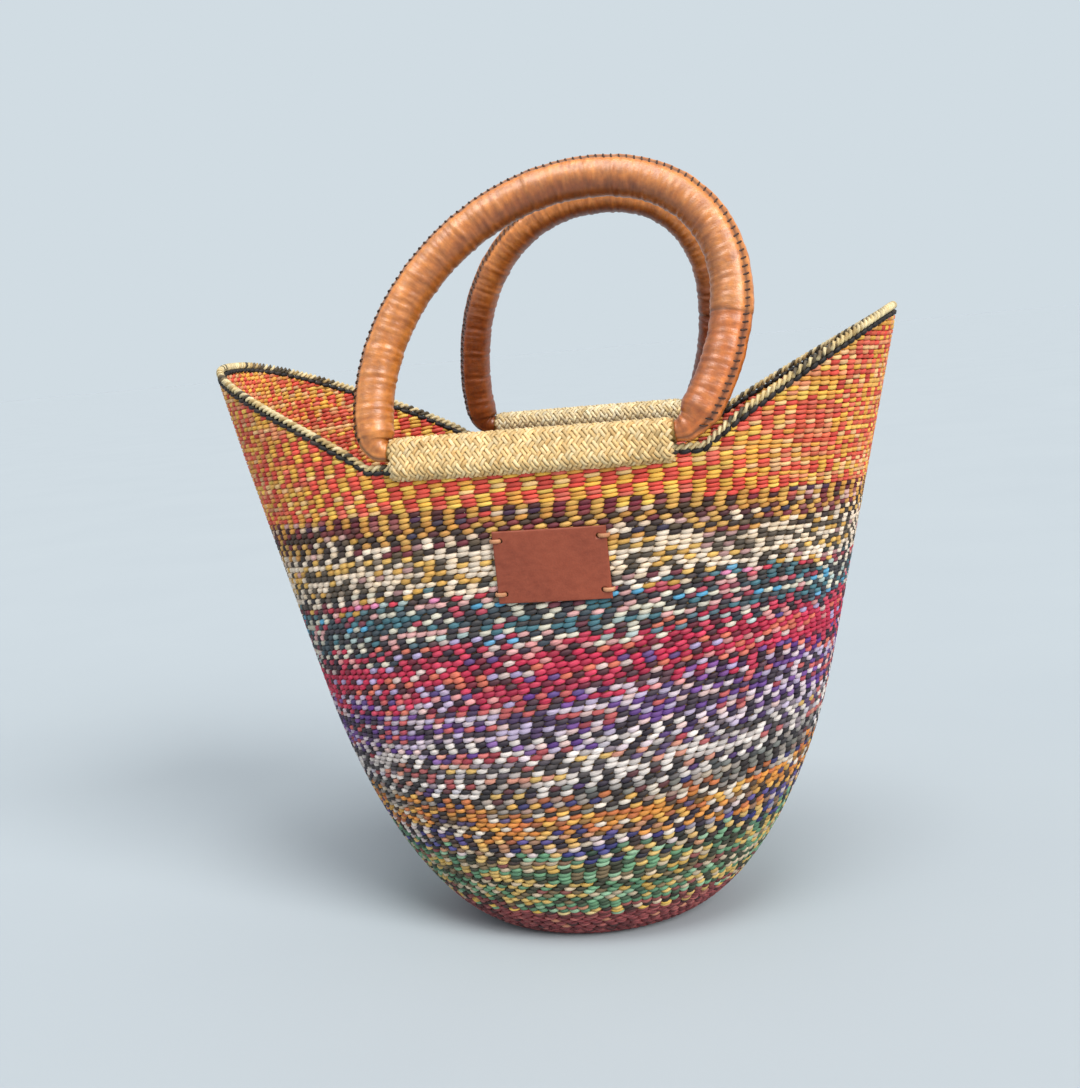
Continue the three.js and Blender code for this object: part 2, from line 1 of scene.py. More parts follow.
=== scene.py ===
"""Looks of a twined straw shopping basket: weave, rim, straw bindings, leather handles and patch.

Sizes are in millimetres and are turned into metres where a mesh is made.
"""

import itertools
import json
import math

import bpy
import numpy as np
from mathutils import Matrix, Vector

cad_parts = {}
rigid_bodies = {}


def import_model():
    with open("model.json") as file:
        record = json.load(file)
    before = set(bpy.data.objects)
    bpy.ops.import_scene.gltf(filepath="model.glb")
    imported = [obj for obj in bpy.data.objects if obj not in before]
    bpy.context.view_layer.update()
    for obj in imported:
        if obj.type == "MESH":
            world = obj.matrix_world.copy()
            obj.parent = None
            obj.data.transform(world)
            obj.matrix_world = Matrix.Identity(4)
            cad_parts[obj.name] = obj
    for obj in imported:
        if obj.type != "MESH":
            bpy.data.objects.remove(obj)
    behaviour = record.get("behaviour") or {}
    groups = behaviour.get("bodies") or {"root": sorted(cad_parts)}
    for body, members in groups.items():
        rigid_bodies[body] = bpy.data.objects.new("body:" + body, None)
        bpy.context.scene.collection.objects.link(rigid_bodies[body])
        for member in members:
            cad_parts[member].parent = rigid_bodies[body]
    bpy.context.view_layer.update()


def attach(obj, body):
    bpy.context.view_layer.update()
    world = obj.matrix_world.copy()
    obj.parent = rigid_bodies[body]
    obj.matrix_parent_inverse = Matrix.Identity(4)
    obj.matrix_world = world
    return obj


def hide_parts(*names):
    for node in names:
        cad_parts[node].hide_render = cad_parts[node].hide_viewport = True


MM = 0.001
SEED = 20

# Wall: outer face
TIP_HALF_LENGTH = 235
TIP_HALF_DEPTH = 120
TIP_HEIGHT = 403
DIP_HEIGHT = 332
FLARE_LENGTH = 0.24
FLARE_DEPTH = 0.055
BOWL_HEIGHT_ENDS = 170
BOWL_HEIGHT_FACES = 100
BASE_HALF_LENGTH = 64
BASE_HALF_DEPTH = 60
PLAN_EXPONENT_BASE = 2
PLAN_EXPONENT_RIM = 2.47
RIM_RISE_EXPONENT = 0.9
ROW_SWING = 10
ROW_SWING_HEIGHT = 174
ROW_SWING_END = 1.5 * math.pi
ROW_LEAN = 17
ROW_LEAN_HEIGHT = 350
WALL_THICKNESS = 6
MID_WALL = WALL_THICKNESS / 2
EDGE_PASSES = 8
DERIVATIVE_STEP = 0.001

# Twined rows: two straws that cross between the stakes
ROW_PITCH = 3.3
ROW_PITCH_JITTER = 0.09
ROWS_PER_PIECE = 12
STAKE_SPACING = 6.6
END_DENSITY = 0.5
CHECK_STAKE_SPACING = 7.4
CHECK_END_DENSITY = 0.9
STITCH_STEPS = 5
STRAW_SIDES = 6
STRAW_REACH = 1.85
STRAW_HALF_THICKNESS = 1.2
STRAW_SLANT = 0.11
STRAW_FRONT_HEIGHT = 0.51
STRAW_CROSSING_HEIGHT = 0.3
STRAW_FLATNESS = 0.62
STITCH_SQUARENESS = 0.5
CHECK_JITTER = 0.12
STITCH_JITTER = 4
LONGEST_RUN = 2
STRAY_SHARE = 0.36
DYE_BLEED = 0.14
BLENDED_ROWS = 2
ORDERED_REACH = (0.5, 0.8)
END_STRAY_SHARE = 0.72
ROW_WANDER = 0.35
DENSE_ANGLES = 1440
RUN_SHADES = (0.84, 1.12)
STITCH_SHADES = (0.88, 1.1)
FULLNESS_JITTER = 0.1
LIFT_JITTER = 0.06
WANDER_WAVES = ((5, 37), (9, -23), (14, 51))
LEVEL_SAMPLES = 200
MEASURED_ANGLES = (0, math.pi / 2, math.pi)

# Stakes between the two straws of each row
STAKE_HALF_THICKNESS = 0.5
STAKE_WIDTH_SHARE = 0.43
STAKE_LEVEL_STEP = 5
STAKE_TOP_DROP = 3.6

# Base: a thin layer of stakes inside its rings of twining
BASE_LAYER_FROM = 0.02
BASE_LAYER_RINGS = 12
BASE_LAYER_SIDES = 60
BASE_LAYER_STEP = 5.0
BASE_LAYER_DYE = "6e5230"

# Rim: a black twined row below a twisted roll of undyed straw
BORDER_DROP = 6.8
BORDER_PITCH = 3
ROLL_DROP = 2.9
ROLL_TWIST_LENGTH = 8
ROLL_STRANDS = 2
ROLL_HELIX_RADIUS = 1.35
ROLL_STRAND_RADIUS = 1.4
ROLL_STATION_LENGTH = 1.3
ROLL_PRESS = 1.1
ROLL_PRESS_REACH = 26
TUCK_FROM_DROP = 11
TUCK_TO_DROP = 8
TUCK_SHARE = 0.45
WEAVE_TOP_DROP = 7.1
SLOT_TOP_DROP = 10.6

# Handles
BAR_RADIUS = 6
BAR_SETBACK = 9.1
BAR_RISE = 6.5
BAR_HEIGHT = DIP_HEIGHT + BAR_RISE
BAR_SAMPLES = 60
HOOP_LEAN = math.radians(14)
ARCH_SAMPLES = 4000
FOOT_BEND = 8
FOOT_CLEARANCE = 1
FOOT_TAPER_HEIGHT = 22
DIP_MARGIN = 10

# Grass core of a handle
CORE_SIDES = 27
CORE_STRAWS = 9
CORE_FOOT_STEPS = 30
CORE_GROOVE = 0.06
CORE_TWIST = 0.03
CORE_SHARE = 0.97
CORE_DYE = "a98748"

# Leather sleeve of a handle: creases, dents, seam and the overlap of its two pieces
LEATHER_THICKNESS = 1.8
FIT_GAP = 0.3
SLEEVE_ALLOWANCE = 1.06
SLEEVE_TAPER_HEIGHT = 14
SLEEVE_STATIONS = 420
SLEEVE_SIDES = 48
SLEEVE_FOOT_STEPS = 40
TOE_SHARE = 0.94
TOE_RADIUS = 6.35
TOE_LENGTH = 7
CREASE_BEND = 1.6
CREASE_BEND_WAVES = (1, 2, 3)
CREASE_WAVES = (0.83, 1.12, 1.47)
CREASE_DEPTH = 0.3
CREASE_OUTER_SHARE = 0.5
CREASE_INNER_SHARE = 0.7
DENT_WAVES = (0.21, 0.34, 0.47)
DENT_DEPTH = 0.28
OVERLAP_FROM_RIGHT = 82
OVERLAP_STEP = 0.55
OVERLAP_EDGE = 1
OVERLAP_FADE = 30
# Painted shade: how far the inner side of an arch and the lower legs are darkened, and the tone they
# darken towards
INNER_REACH = (-0.1, 0.7)
LEG_REACH = (0.3, 0.75)
PAINTED_SHADE_TONE = (0.46, 0.32, 0.28)
LOWER_PIECE_TONE = (0.88, 0.72, 0.66)

# Peaks and dips of the leather's relief and tone: height, place and width
SEAM_RIDGE = (0.3, 0.3, 0.14)
SEAM_GROOVE = (-0.5, 0, 0.12)
SEAM_DARKENING = (-0.6, 0, 0.12)
# The seam's paler edges are a painted highlight
SEAM_PAINTED_HIGHLIGHT = (0.35, 0.36, 0.12)
OVERLAP_DARKENING = (-0.5, OVERLAP_FROM_RIGHT - OVERLAP_EDGE, 0.9)

# Lacing along the seam
LACING_SPACING = 4.4
LACING_HALF_LENGTH = 2.9
LACING_RADIUS = 0.52
LACING_ADVANCE = 0.9
LACING_POINTS = 7
LACING_RISE = 0.9
LACING_SINK = 1.6
LACING_TANGENT_REACH = 1
LACING_BARE_RIGHT = 3
LACING_BARE_LEFT = 2
LACING_DYE = "3a2015"

# Straw bindings: straws plaited round the bar and the rim
WINDING_RADIUS = 1.35
RIM_BUNDLE_DROP = 4.6
RIM_BUNDLE_RADIUS = 5.5
BELT_TURNS = 1441
BELT_BLEND = 0.6
PLAIT_PAIRS = 8
PLAIT_ADVANCE = 49
PLAIT_STEP = 0.75
PAIR_OFFSET = 0.25
PLAIT_LIFT = 0.75
PLAIT_HALF_WIDTH = 1.12
PLAIT_HALF_THICKNESS = 0.7
PLAIT_UNEVENNESS = 0.3
PLAIT_TUCK = 0.9
PLAIT_TUCK_LENGTH = 4
PLAIT_RUN = 5
PLAIT_WAVES = (0.11, 0.31, 0.83)
FILLING_LENGTH = 12
FILLING_RADIUS = 2
FILLING_ASIDE = 3.2
FILLING_DROPS = (1.3, 4.3)
FILLING_POINTS = 5
FILLING_DYE = "c9a566"

# Leather patch
PATCH_WIDTH = 72
PATCH_HEIGHT = 46
PATCH_THICKNESS = 2
PATCH_CENTRE_X = 20.5
PATCH_CENTRE_Z = 262
PATCH_EDGE_ROUND = 0.8
PATCH_STEP = 1.6
PATCH_EDGE_STEPS = 5
TIE_HOLE_RADIUS = 1.6
TIE_INSET_SIDE = 5
TIE_INSET_TOP = 6
TIE_HALF_WIDTH = 1.3
TIE_HALF_THICKNESS = 0.7
TIE_SIDES = 10
TIE_DYE = "c88d62"
TIE_OVERHANG = 1.4
TIE_TOP = FIT_GAP + PATCH_THICKNESS + TIE_HALF_THICKNESS
HOLE_SIDES = 24
HOLE_DEPTH = 12

# A tie's course: the share of its way from the hole over the edge, and how far it stands off the wall
TIE_COURSE = (
    (0, 0), (0, 1.6), (0.12, TIE_TOP - 0.2), (0.35, TIE_TOP + 0.3),
    (0.65, TIE_TOP + 0.3), (0.9, TIE_TOP - 0.2), (1, 1.4), (1, -1),
)

# Camera: where it stands to see the basket as photographed
CAMERA_AZIMUTH = math.radians(15.2)
CAMERA_ELEVATION = math.radians(8.05)
CAMERA_ROLL = math.radians(5.3)
CAMERA_DISTANCE = 1007
CAMERA_TARGET = (-16.3, 0, 258.9)
CAMERA_LENS = 47.7
CAMERA_SENSOR = 36

# Stage
FLOOR_SIZE = 80
FLOOR_PARTS = 4
FLOOR_COLOURS = ("b3bcc2", "b8c1c6")
ROOM_COLOUR = (0.93, 0.96, 1, 1)
ROOM_STRENGTH = 0.6
SEEN_COLOUR = "d1dce3"
LAMPS = {
    "key_light": {
        "from_where": (1.65, -1.3, 1.25), "strength": 2.6, "softness": 30, "colour": (1, 0.98, 0.95),
    },
    "top_light": {
        "from_where": (0.25, -0.75, 1.9), "strength": 1.25, "softness": 28, "colour": (1, 1, 1),
    },
    "fill_light": {
        "from_where": (-1.2, -1.6, 0.9), "strength": 0.15, "softness": 70, "colour": (0.97, 0.98, 1),
    },
    "sheen_light": {
        "from_where": (-0.6, -0.95, 1.5), "strength": 2.2, "softness": 36, "colour": (1, 0.95, 0.88),
        "gloss_only": True,
    },
}

# Leather colours: deep, middle and pale
SLEEVE_COLOURS = ("ae5e1c", "d27a2c", "e4a058")
PATCH_COLOURS = ("7c331c", "8d3f25", "994b31")
LACE_COLOURS = ("a5673f", "bf8156", "d3a078")
THREAD_COLOURS = ("24130d", "3a2015", "54321f")

# Noise values between these spread over the whole range that a material asks for
NOISE_LOW = 0.3
NOISE_HIGH = 0.7

# How fast a noise changes along a strand and across it, or along each axis
FIBRE_RATES = (0.12, 2.2, 2.2)
STAIN_RATES = (0.05, 0.2, 0.2)
CREASE_RATES = (0.3, 1.1, 1.1)
SLEEVE_RUB_RATES = (0.09, 1.1, 1.1)
FLAT_RUB_RATES = (1, 1, 1.6)
ROUGHNESS_SPREAD = 0.1

# Places of the two colours and the result among the sockets of a mix
MIX_FIRST = 6
MIX_SECOND = 7
MIX_RESULT = 2

# inner_shade and leg_shade: the strength of the painted shade on a sleeve's inner side over the arch
# and down its legs
HANDLES = {
    "front": {
        "side": -1, "centre": 11.6, "foot_half_span": 98.6, "arch_half_width": 111,
        "arch_height": 162.5, "skew": 42, "exponent": 2.06, "sleeve_radius": 12,
        "seam_angle": math.radians(143), "seed": 3, "inner_shade": 0.9, "leg_shade": 0,
    },
    "back": {
        "side": 1, "centre": 2.3, "foot_half_span": 81, "arch_half_width": 90.8,
        "arch_height": 162, "skew": 29, "exponent": 2.23, "sleeve_radius": 10.6,
        "seam_angle": math.radians(219), "seed": 4, "inner_shade": 1, "leg_shade": 1,
    },
}

# Weft bands from the base up: node, material slot, height at the middle of a face, and the dyes of the
# two straws of each row, each with its share. The last band goes up to the rim.
BANDS = [
    {
        "node": "red_band", "slot": "red_straw", "height": 24, "row_pitch": 2.6,
        "lead": {"944849": 5, "ae625d": 2, "c7896b": 1, "733135": 3},
        "ground": {"803c3f": 4, "5d272a": 3, "9f5855": 1, "312425": 1},
        "top": ({"eabf59": 5, "dec78e": 1}, {"5e312d": 2, "2d2320": 2, "8f4244": 1}),
    },
    {
        "node": "green_band", "slot": "green_straw", "height": 43,
        "lead": {"689e79": 3, "92bc9a": 2, "d8b265": 4, "ccb79c": 2, "45795e": 2},
        "ground": {"20231e": 5, "304f3d": 2, "598c69": 2, "cba04d": 1, "756046": 2, "863e45": 1},
    },
    {
        "node": "navy_band", "slot": "navy_straw", "height": 13,
        "lead": {"33378b": 3, "d9af69": 2, "dac9c9": 2, "c28863": 2, "88889a": 1},
        "ground": {"212031": 5, "2a2c6e": 2, "392a28": 3, "98745b": 1},
    },
    {
        "node": "marigold_band", "slot": "marigold_straw", "height": 22,
        "lead": {"d88e37": 4, "e3ad50": 3, "c56a36": 2, "ddd3c4": 3},
        "ground": {"292422": 4, "836030": 2, "ce7e32": 2, "2c3166": 2, "9d5634": 1, "bfaf9a": 1},
    },
    {
        "node": "ash_band", "slot": "ash_straw", "height": 11,
        "lead": {"a89c94": 2, "84807c": 3, "6a706c": 2, "93766c": 1},
        "ground": {"242325": 6, "474a49": 2, "5a5654": 2, "5a2c31": 1},
    },
    {
        "node": "lower_cream_band", "slot": "cream_straw", "height": 29,
        "lead": {"e6dcd4": 7, "d0c6bf": 2, "bcb6bf": 2, "d3aa55": 1, "cb856d": 1, "362c35": 1},
        "ground": {"1c1920": 6, "292133": 2, "462b64": 2, "c8bdb7": 3, "83767f": 1, "a44446": 1},
    },
    {
        "node": "violet_band", "slot": "violet_straw", "height": 37,
        "lead": {"d8c7cd": 4, "bcaec9": 3, "dbbbb4": 2, "c65751": 2, "6f4092": 2, "261e2a": 1},
        "ground": {"1b1721": 6, "341e4c": 3, "562c80": 3, "a1323c": 1, "c9b9c4": 1},
    },
    {
        "node": "crimson_band", "slot": "crimson_straw", "height": 34,
        "lead": {"c62149": 5, "d43858": 2, "d77257": 2, "df9894": 1, "ada5cd": 1, "2a1c24": 1},
        "ground": {"ae1d3f": 4, "c12746": 2, "6a182c": 2, "221a20": 3, "564685": 1, "d7c5bd": 1},
    },
    {
        "node": "teal_band", "slot": "teal_straw", "height": 34,
        "lead": {"2e6f7b": 3, "e2dcc6": 3, "dda6a2": 3, "48a2c9": 1, "bc3a52": 3, "a9bfbb": 1},
        "ground": {"1c2427": 6, "26424c": 3, "1d1e2d": 3, "772a3e": 1, "d1ccb9": 1},
        "top": (
            {"cf2c48": 3, "eb8eb9": 3, "e4b454": 3, "eae1d4": 1},
            {"221f21": 3, "8b1f33": 2, "e4d8c7": 1},
        ),
    },
    {
        "node": "upper_cream_band", "slot": "cream_straw", "height": 34,
        "lead": {"efddc7": 6, "e6cfb1": 2, "dfaf52": 2, "251f1d": 2},
        "ground": {"231e1c": 6, "ebd7c0": 3, "d49f41": 2, "7b6c5e": 1, "af8383": 1},
    },
    {
        "node": "maroon_band", "slot": "maroon_straw", "height": 20, "stray": 0.1,
        "lead": {"d4a14e": 6, "c88b3c": 3, "d7bea6": 1, "271b1e": 1},
        "ground": {"1e161a": 5, "721c32": 3, "4e1527": 2, "232748": 1, "905152": 1, "d2a7a0": 1},
    },
    {
        "node": "check_band", "slot": "check_straw", "height": 106, "row_pitch": 2.9, "checks": 3,
        "lead": {"e9b344": 5, "efc65a": 3, "e29e42": 2, "edc586": 1},
        "ground": {"df493f": 5, "cf3a33": 3, "e36c5a": 2, "b72f29": 1},
        "ends": {"e0a243": 4, "e5b257": 3, "e8bb85": 2, "df9066": 4, "dc5c48": 4, "cd443a": 3},
    },
]
BORDER_DYES = {"1d1a1a": 5, "2b2422": 2, "3a2f28": 1}
ROLL_DYES = {"e6d3a4": 6, "d8bf88": 3, "c4a56b": 1, "2a2320": 2, "5a4630": 1}
# The back binding's paler dyes are painted light: the same straw as the front binding, made paler as
# if brightly lit
WINDING_DYES = {
    "front": {"e9c98f": 5, "e3be80": 4, "edd3a0": 3, "d6ac6c": 1},
    "back": {"f3dfb2": 5, "efd7a4": 4, "f7e9c4": 3, "e6ca90": 1},
}
STAKE_DYES = {"8a6a3c": 3, "6e5230": 2}
BASE_DYES = {"8a3f42": 4, "9a4a4b": 3, "6a2c30": 2}


# Colours and noise

def linear(code):
    """A colour written as on a screen, in the linear light that shaders use."""
    shares = np.array([int(code[k:k + 2], 16) for k in (0, 2, 4)]) / 255
    return np.where(shares <= 0.04045, shares / 12.92, ((shares + 0.055) / 1.055) ** 2.4)


def one_dye(code, count):
    return np.tile(linear(code), (count, 1))


def drawn_dye(rng, dyes):
    shares = np.array(list(dyes.values()), float)
    return linear(list(dyes)[rng.choice(len(dyes), p=shares / shares.sum())])


def mean_dye(dyes):
    return np.average([linear(code) for code in dyes], axis=0, weights=list(dyes.values()))


def straw_colours(rng, dyes, stray_dyes, stray_share):
    """A colour for each stitch of a straw: short runs of one dye, some of them strays of another's."""
    stitches = len(stray_share)
    colours = np.zeros((stitches, 3))
    ground = (mean_dye(dyes) + mean_dye(stray_dyes)) / 2
    start = 0
    while start < stitches:
        run = int(rng.integers(1, LONGEST_RUN + 1))
        strays = rng.random() < stray_share[start]
        colour = drawn_dye(rng, stray_dyes if strays else dyes)
        colour = colour + DYE_BLEED * (ground - colour)
        colours[start:start + run] = colour * rng.uniform(*RUN_SHADES)
        start += run
    return np.clip(colours * rng.uniform(*STITCH_SHADES, (stitches, 1)), 0, 1)


def plain_colours(rng, dyes, count):
    return straw_colours(rng, dyes, dyes, np.zeros(count))


def ripple(phase, rng, waves):
    """A smooth uneven wave along a phase, between about -1 and 1."""
    total = np.zeros_like(phase)
    for frequency in waves:
        total = total + np.sin(frequency * phase + rng.uniform(0, 2 * math.pi))
    return total / len(waves)


def smoothstep(value, low, high):
    share = np.clip((value - low) / (high - low), 0, 1)
    return share * share * (3 - 2 * share)


def peak(value, height, middle, width):
    return height * np.exp(-(((value - middle) / width) ** 2))


# Lines and rings

def unit(vectors):
    return vectors / np.linalg.norm(vectors, axis=-1, keepdims=True)


def ring_turns(count, offset=0):
    """Evenly spaced turns round a circle."""
    return 2 * math.pi * (np.arange(count) + offset) / count


def lengths_along(line):
    """How far along a line each of its points lies."""
    return np.concatenate([[0], np.cumsum(np.linalg.norm(np.diff(line, axis=0), axis=-1))])


def loop_length(loop):
    return np.linalg.norm(loop - np.roll(loop, 1, axis=0), axis=-1).sum()


def directions(line, closed=False):
    """Unit vectors along a line at each of its points."""
    if closed:
        return unit(np.roll(line, -1, axis=0) - np.roll(line, 1, axis=0))
    return unit(np.gradient(line, axis=0))


# The wall's outer face

def signed_power(value, exponent):
    return np.sign(value) * np.abs(value) ** exponent


def bowl(z, tip_span, flare, base_span, bowl_height):
    straight = tip_span - flare * (TIP_HEIGHT - z)
    foot = tip_span - flare * TIP_HEIGHT
    depth = np.clip(1 - z / bowl_height, 0, 1)
    return straight - (foot - base_span) * (1 - np.sqrt(1 - depth * depth))


def half_length(z):
    return bowl(z, TIP_HALF_LENGTH, FLARE_LENGTH, BASE_HALF_LENGTH, BOWL_HEIGHT_ENDS)


def half_depth(z):
    return bowl(z, TIP_HALF_DEPTH, FLARE_DEPTH, BASE_HALF_DEPTH, BOWL_HEIGHT_FACES)


def plan_exponent(z):
    share = np.minimum(1, z / DIP_HEIGHT)
    return PLAN_EXPONENT_BASE + (PLAN_EXPONENT_RIM - PLAN_EXPONENT_BASE) * share


def outer_point(angle, z):
    angle, z = np.broadcast_arrays(np.asarray(angle, float), np.asarray(z, float))
    power = 2 / plan_exponent(z)
    x = half_length(z) * signed_power(np.cos(angle), power)
    y = half_depth(z) * signed_power(np.sin(angle), power)
    return np.stack([x, y, z], axis=-1)


def outward(angle, z):
    around = outer_point(angle + DERIVATIVE_STEP, z) - outer_point(angle - DERIVATIVE_STEP, z)
    up = outer_point(angle, z + DERIVATIVE_STEP) - outer_point(angle, z)
    return unit(np.cross(around, up))


def wall_point(angle, z, inset):
    return outer_point(angle, z) - outward(angle, z) * np.asarray(inset, float)[..., None]


def angle_at(x, z, side):
    return side * np.arccos(signed_power(x / half_length(z), plan_exponent(z) / 2))


def row_height(at_middle, angle):
    """A row's height, from its height at the middle of a face: it curves to the ends and leans."""
    swing_turn = np.minimum(math.pi * at_middle / ROW_SWING_HEIGHT, ROW_SWING_END)
    lean_turn = np.minimum(math.pi * at_middle / ROW_LEAN_HEIGHT, math.pi)
    swing = ROW_SWING * np.sin(swing_turn) * np.cos(angle) ** 2
    return at_middle + swing + ROW_LEAN * np.sin(lean_turn) ** 2 * np.cos(angle)


def handle_values(angle, key):
    return np.where(np.sin(angle) < 0, HANDLES["front"][key], HANDLES["back"][key])


def edge_height(angle):
    centre = handle_values(angle, "centre")
    dip_half_span = handle_values(angle, "foot_half_span") + DIP_MARGIN
    height = np.full_like(angle, DIP_HEIGHT)
    for _ in range(EDGE_PASSES):
        x = outer_point(angle, height)[..., 0]
        way = np.sign(x - centre)
        dip_end = centre + way * dip_half_span
        share = np.clip((x - dip_end) / (way * TIP_HALF_LENGTH - dip_end), 0, 1)
        height = DIP_HEIGHT + (TIP_HEIGHT - DIP_HEIGHT) * share ** RIM_RISE_EXPONENT
    return height


def in_slot(angle):
    """Where a binding passes through the wall, below the rim."""
    reach = handle_values(angle, "foot_half_span") - FOOT_BEND - FOOT_CLEARANCE
    x = outer_point(angle, DIP_HEIGHT)[..., 0]
    return np.abs(x - handle_values(angle, "centre")) < reach


def level_line(level):
    """The middle of the wall all round, along a row."""
    angle = ring_turns(DENSE_ANGLES)
    return wall_point(angle, row_height(level, angle), MID_WALL)


def rim_line(drop):
    """The middle of the wall all round, at a depth below its edge."""
    angle = ring_turns(DENSE_ANGLES)
    return wall_point(angle, edge_height(angle) - drop, MID_WALL)


# Meshes from strands

def add_object(name, data):
    thing = bpy.data.objects.new(name, data)
    bpy.context.scene.collection.objects.link(thing)
    return thing


class Strands:
    """A mesh made of tubes, with a dye and a place along and around the straw at each vertex. On a
    sleeve the dye holds the leather's tone, with its painted shade and painted highlight.
    """

    def __init__(self):
        self.vertices, self.dyes, self.fibres, self.faces = [], [], [], []
        self.count = 0

    def add_grid(self, points, dyes, along, closed=False):
        """A tube of rings: points is rings by sides. It joins up with itself where it is closed."""
        rings, sides = points.shape[:2]
        turn = ring_turns(sides)
        around = np.stack([np.cos(turn), np.sin(turn)], axis=-1)
        fibre = np.concatenate([
            np.broadcast_to(along[:, None, None], (rings, sides, 1)),
            np.broadcast_to(around[None], (rings, sides, 2)),
        ], axis=-1)
        index = self.count + np.arange(rings * sides).reshape(rings, sides)
        here, there = (index, np.roll(index, -1, axis=0)) if closed else (index[:-1], index[1:])
        beside = np.roll(there, -1, axis=1), np.roll(here, -1, axis=1)
        quads = np.stack([here, there, *beside], axis=-1).reshape(-1, 4)
        middle = points.mean(axis=1, keepdims=True)
        forward = np.gradient(points, axis=0)
        sideways = np.roll(points, -1, axis=1) - np.roll(points, 1, axis=1)
        facing_out = np.sum(np.cross(forward, sideways) * (points - middle)) > 0
        self.faces.append(quads if facing_out else quads[:, ::-1])
        if not closed:
            caps = [index[0], index[-1][::-1]]
            self.faces += [cap[None] if facing_out else cap[None, ::-1] for cap in caps]
        self.vertices.append(points.reshape(-1, 3))
        spread = dyes if dyes.ndim == 3 else dyes[:, None, :]
        self.dyes.append(np.broadcast_to(spread, (rings, sides, 3)).reshape(-1, 3))
        self.fibres.append(fibre.reshape(-1, 3))
        self.count += rings * sides

    def add_tube(self, centres, across, upward, dyes, closed=False, sides=STRAW_SIDES, flatness=1):
        """A strand: across and upward are half the section's width and height at each centre."""
        turn = ring_turns(sides, 0.5)
        wide = signed_power(np.cos(turn), flatness)[None, :, None]
        high = signed_power(np.sin(turn), flatness)[None, :, None]
        ring = wide * across[:, None] + high * upward[:, None]
        self.add_grid(centres[:, None] + ring, dyes, lengths_along(centres), closed)

    def build(self, name, material):
        vertices = np.concatenate(self.vertices) * MM
        corners = np.concatenate([face.ravel() for face in self.faces])
        sizes = np.concatenate([np.full(len(face), face.shape[1]) for face in self.faces])
        starts = np.concatenate([[0], np.cumsum(sizes)[:-1]])
        mesh = bpy.data.meshes.new(name)
        mesh.vertices.add(len(vertices))
        mesh.vertices.foreach_set("co", vertices.astype(np.float32).ravel())
        mesh.loops.add(len(corners))
        mesh.loops.foreach_set("vertex_index", corners.astype(np.int32))
        mesh.polygons.add(len(sizes))
        mesh.polygons.foreach_set("loop_start", starts.astype(np.int32))
        mesh.polygons.foreach_set("use_smooth", np.ones(len(sizes), bool))
        mesh.update(calc_edges=True)
        dyes = np.concatenate(self.dyes)
        rgba = np.concatenate([dyes, np.ones((len(dyes), 1))], axis=1)
        mesh.attributes.new("dye", "FLOAT_COLOR", "POINT").data.foreach_set("color", rgba.ravel())
        fibres = np.concatenate(self.fibres).ravel()
        mesh.attributes.new("fibre", "FLOAT_VECTOR", "POINT").data.foreach_set("vector", fibres)
        mesh.materials.append(material)
        return add_object(name, mesh)


def place(piece, body, slot, *nodes):
    """Lets a piece stand for CAD nodes and move with their body."""
    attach(piece, body)
    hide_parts(*nodes)


# Weave

def row_stations(points, stakes, steps, end_density=END_DENSITY):
    """Angles of a closed row's stations. Its stakes stand closer together towards the tips."""
    count = len(points)
    angle = 2 * math.pi * np.arange(count + 1) / count
    closed = np.concatenate([points, points[:1]])
    lengths = np.linalg.norm(np.diff(closed, axis=0), axis=-1)
    weighted = lengths * (1 + end_density * np.cos(angle[:-1]) ** 2)
    places = np.concatenate([[0], np.cumsum(weighted)])
    wanted = np.arange(stakes * steps) / (stakes * steps) * places[-1]
    return np.interp(wanted, places, angle)


def valid_runs(valid):
    """(first, length) of each run of true values round a closed row."""
    if valid.all():
        return [(0, len(valid))]
    starts = np.flatnonzero(valid & ~np.roll(valid, 1))
    runs = []
    for start in starts:
        ahead = np.roll(valid, -start)
        runs.append((start, int(np.argmin(ahead))))
    return runs


def add_twined_row(strands, rng, row):
    """One row: two straws that cross over each other between stakes, one in front and one behind."""
    outer, up, pitch, tuck = row["outward"], row["up"], row["pitch"], row["tuck"]
    stitches = row["stakes"] // 2
    stations = len(pitch)
    for straw in (0, 1):
        stake = np.arange(stations) / STITCH_STEPS + straw + row["shift"]
        phase = math.pi * stake
        front = np.cos(phase)
        stitch = np.floor((stake + 1) / 2).astype(int) % stitches
        stray_share = row["stray_share"][np.arange(stitches) * stations // stitches]
        dyes = straw_colours(rng, row["dyes"][straw], row["strays"][straw], stray_share)[stitch]
        fullness = (1 + FULLNESS_JITTER * rng.uniform(-1, 1, stitches))[stitch]
        lift = (LIFT_JITTER * rng.uniform(-1, 1, stitches))[stitch]
        reach = STRAW_REACH * signed_power(front, STITCH_SQUARENESS) * tuck
        raised = pitch * (STRAW_SLANT * np.sin(phase) + lift)
        middle = row["centre"] + outer * reach[:, None] + up * raised[:, None]
        share = np.abs(front) ** STITCH_SQUARENESS
        tall = pitch * (STRAW_CROSSING_HEIGHT + (STRAW_FRONT_HEIGHT - STRAW_CROSSING_HEIGHT) * share)
        across = outer * (STRAW_HALF_THICKNESS * tuck * fullness)[:, None]
        upward = up * tall[:, None]
        for first, length in valid_runs(row["valid"]):
            if length < STITCH_STEPS:
                continue
            chosen = (first + np.arange(length)) % stations
            strands.add_tube(
                middle[chosen], across[chosen], upward[chosen], dyes[chosen],
                closed=length == stations, flatness=STRAW_FLATNESS,
            )


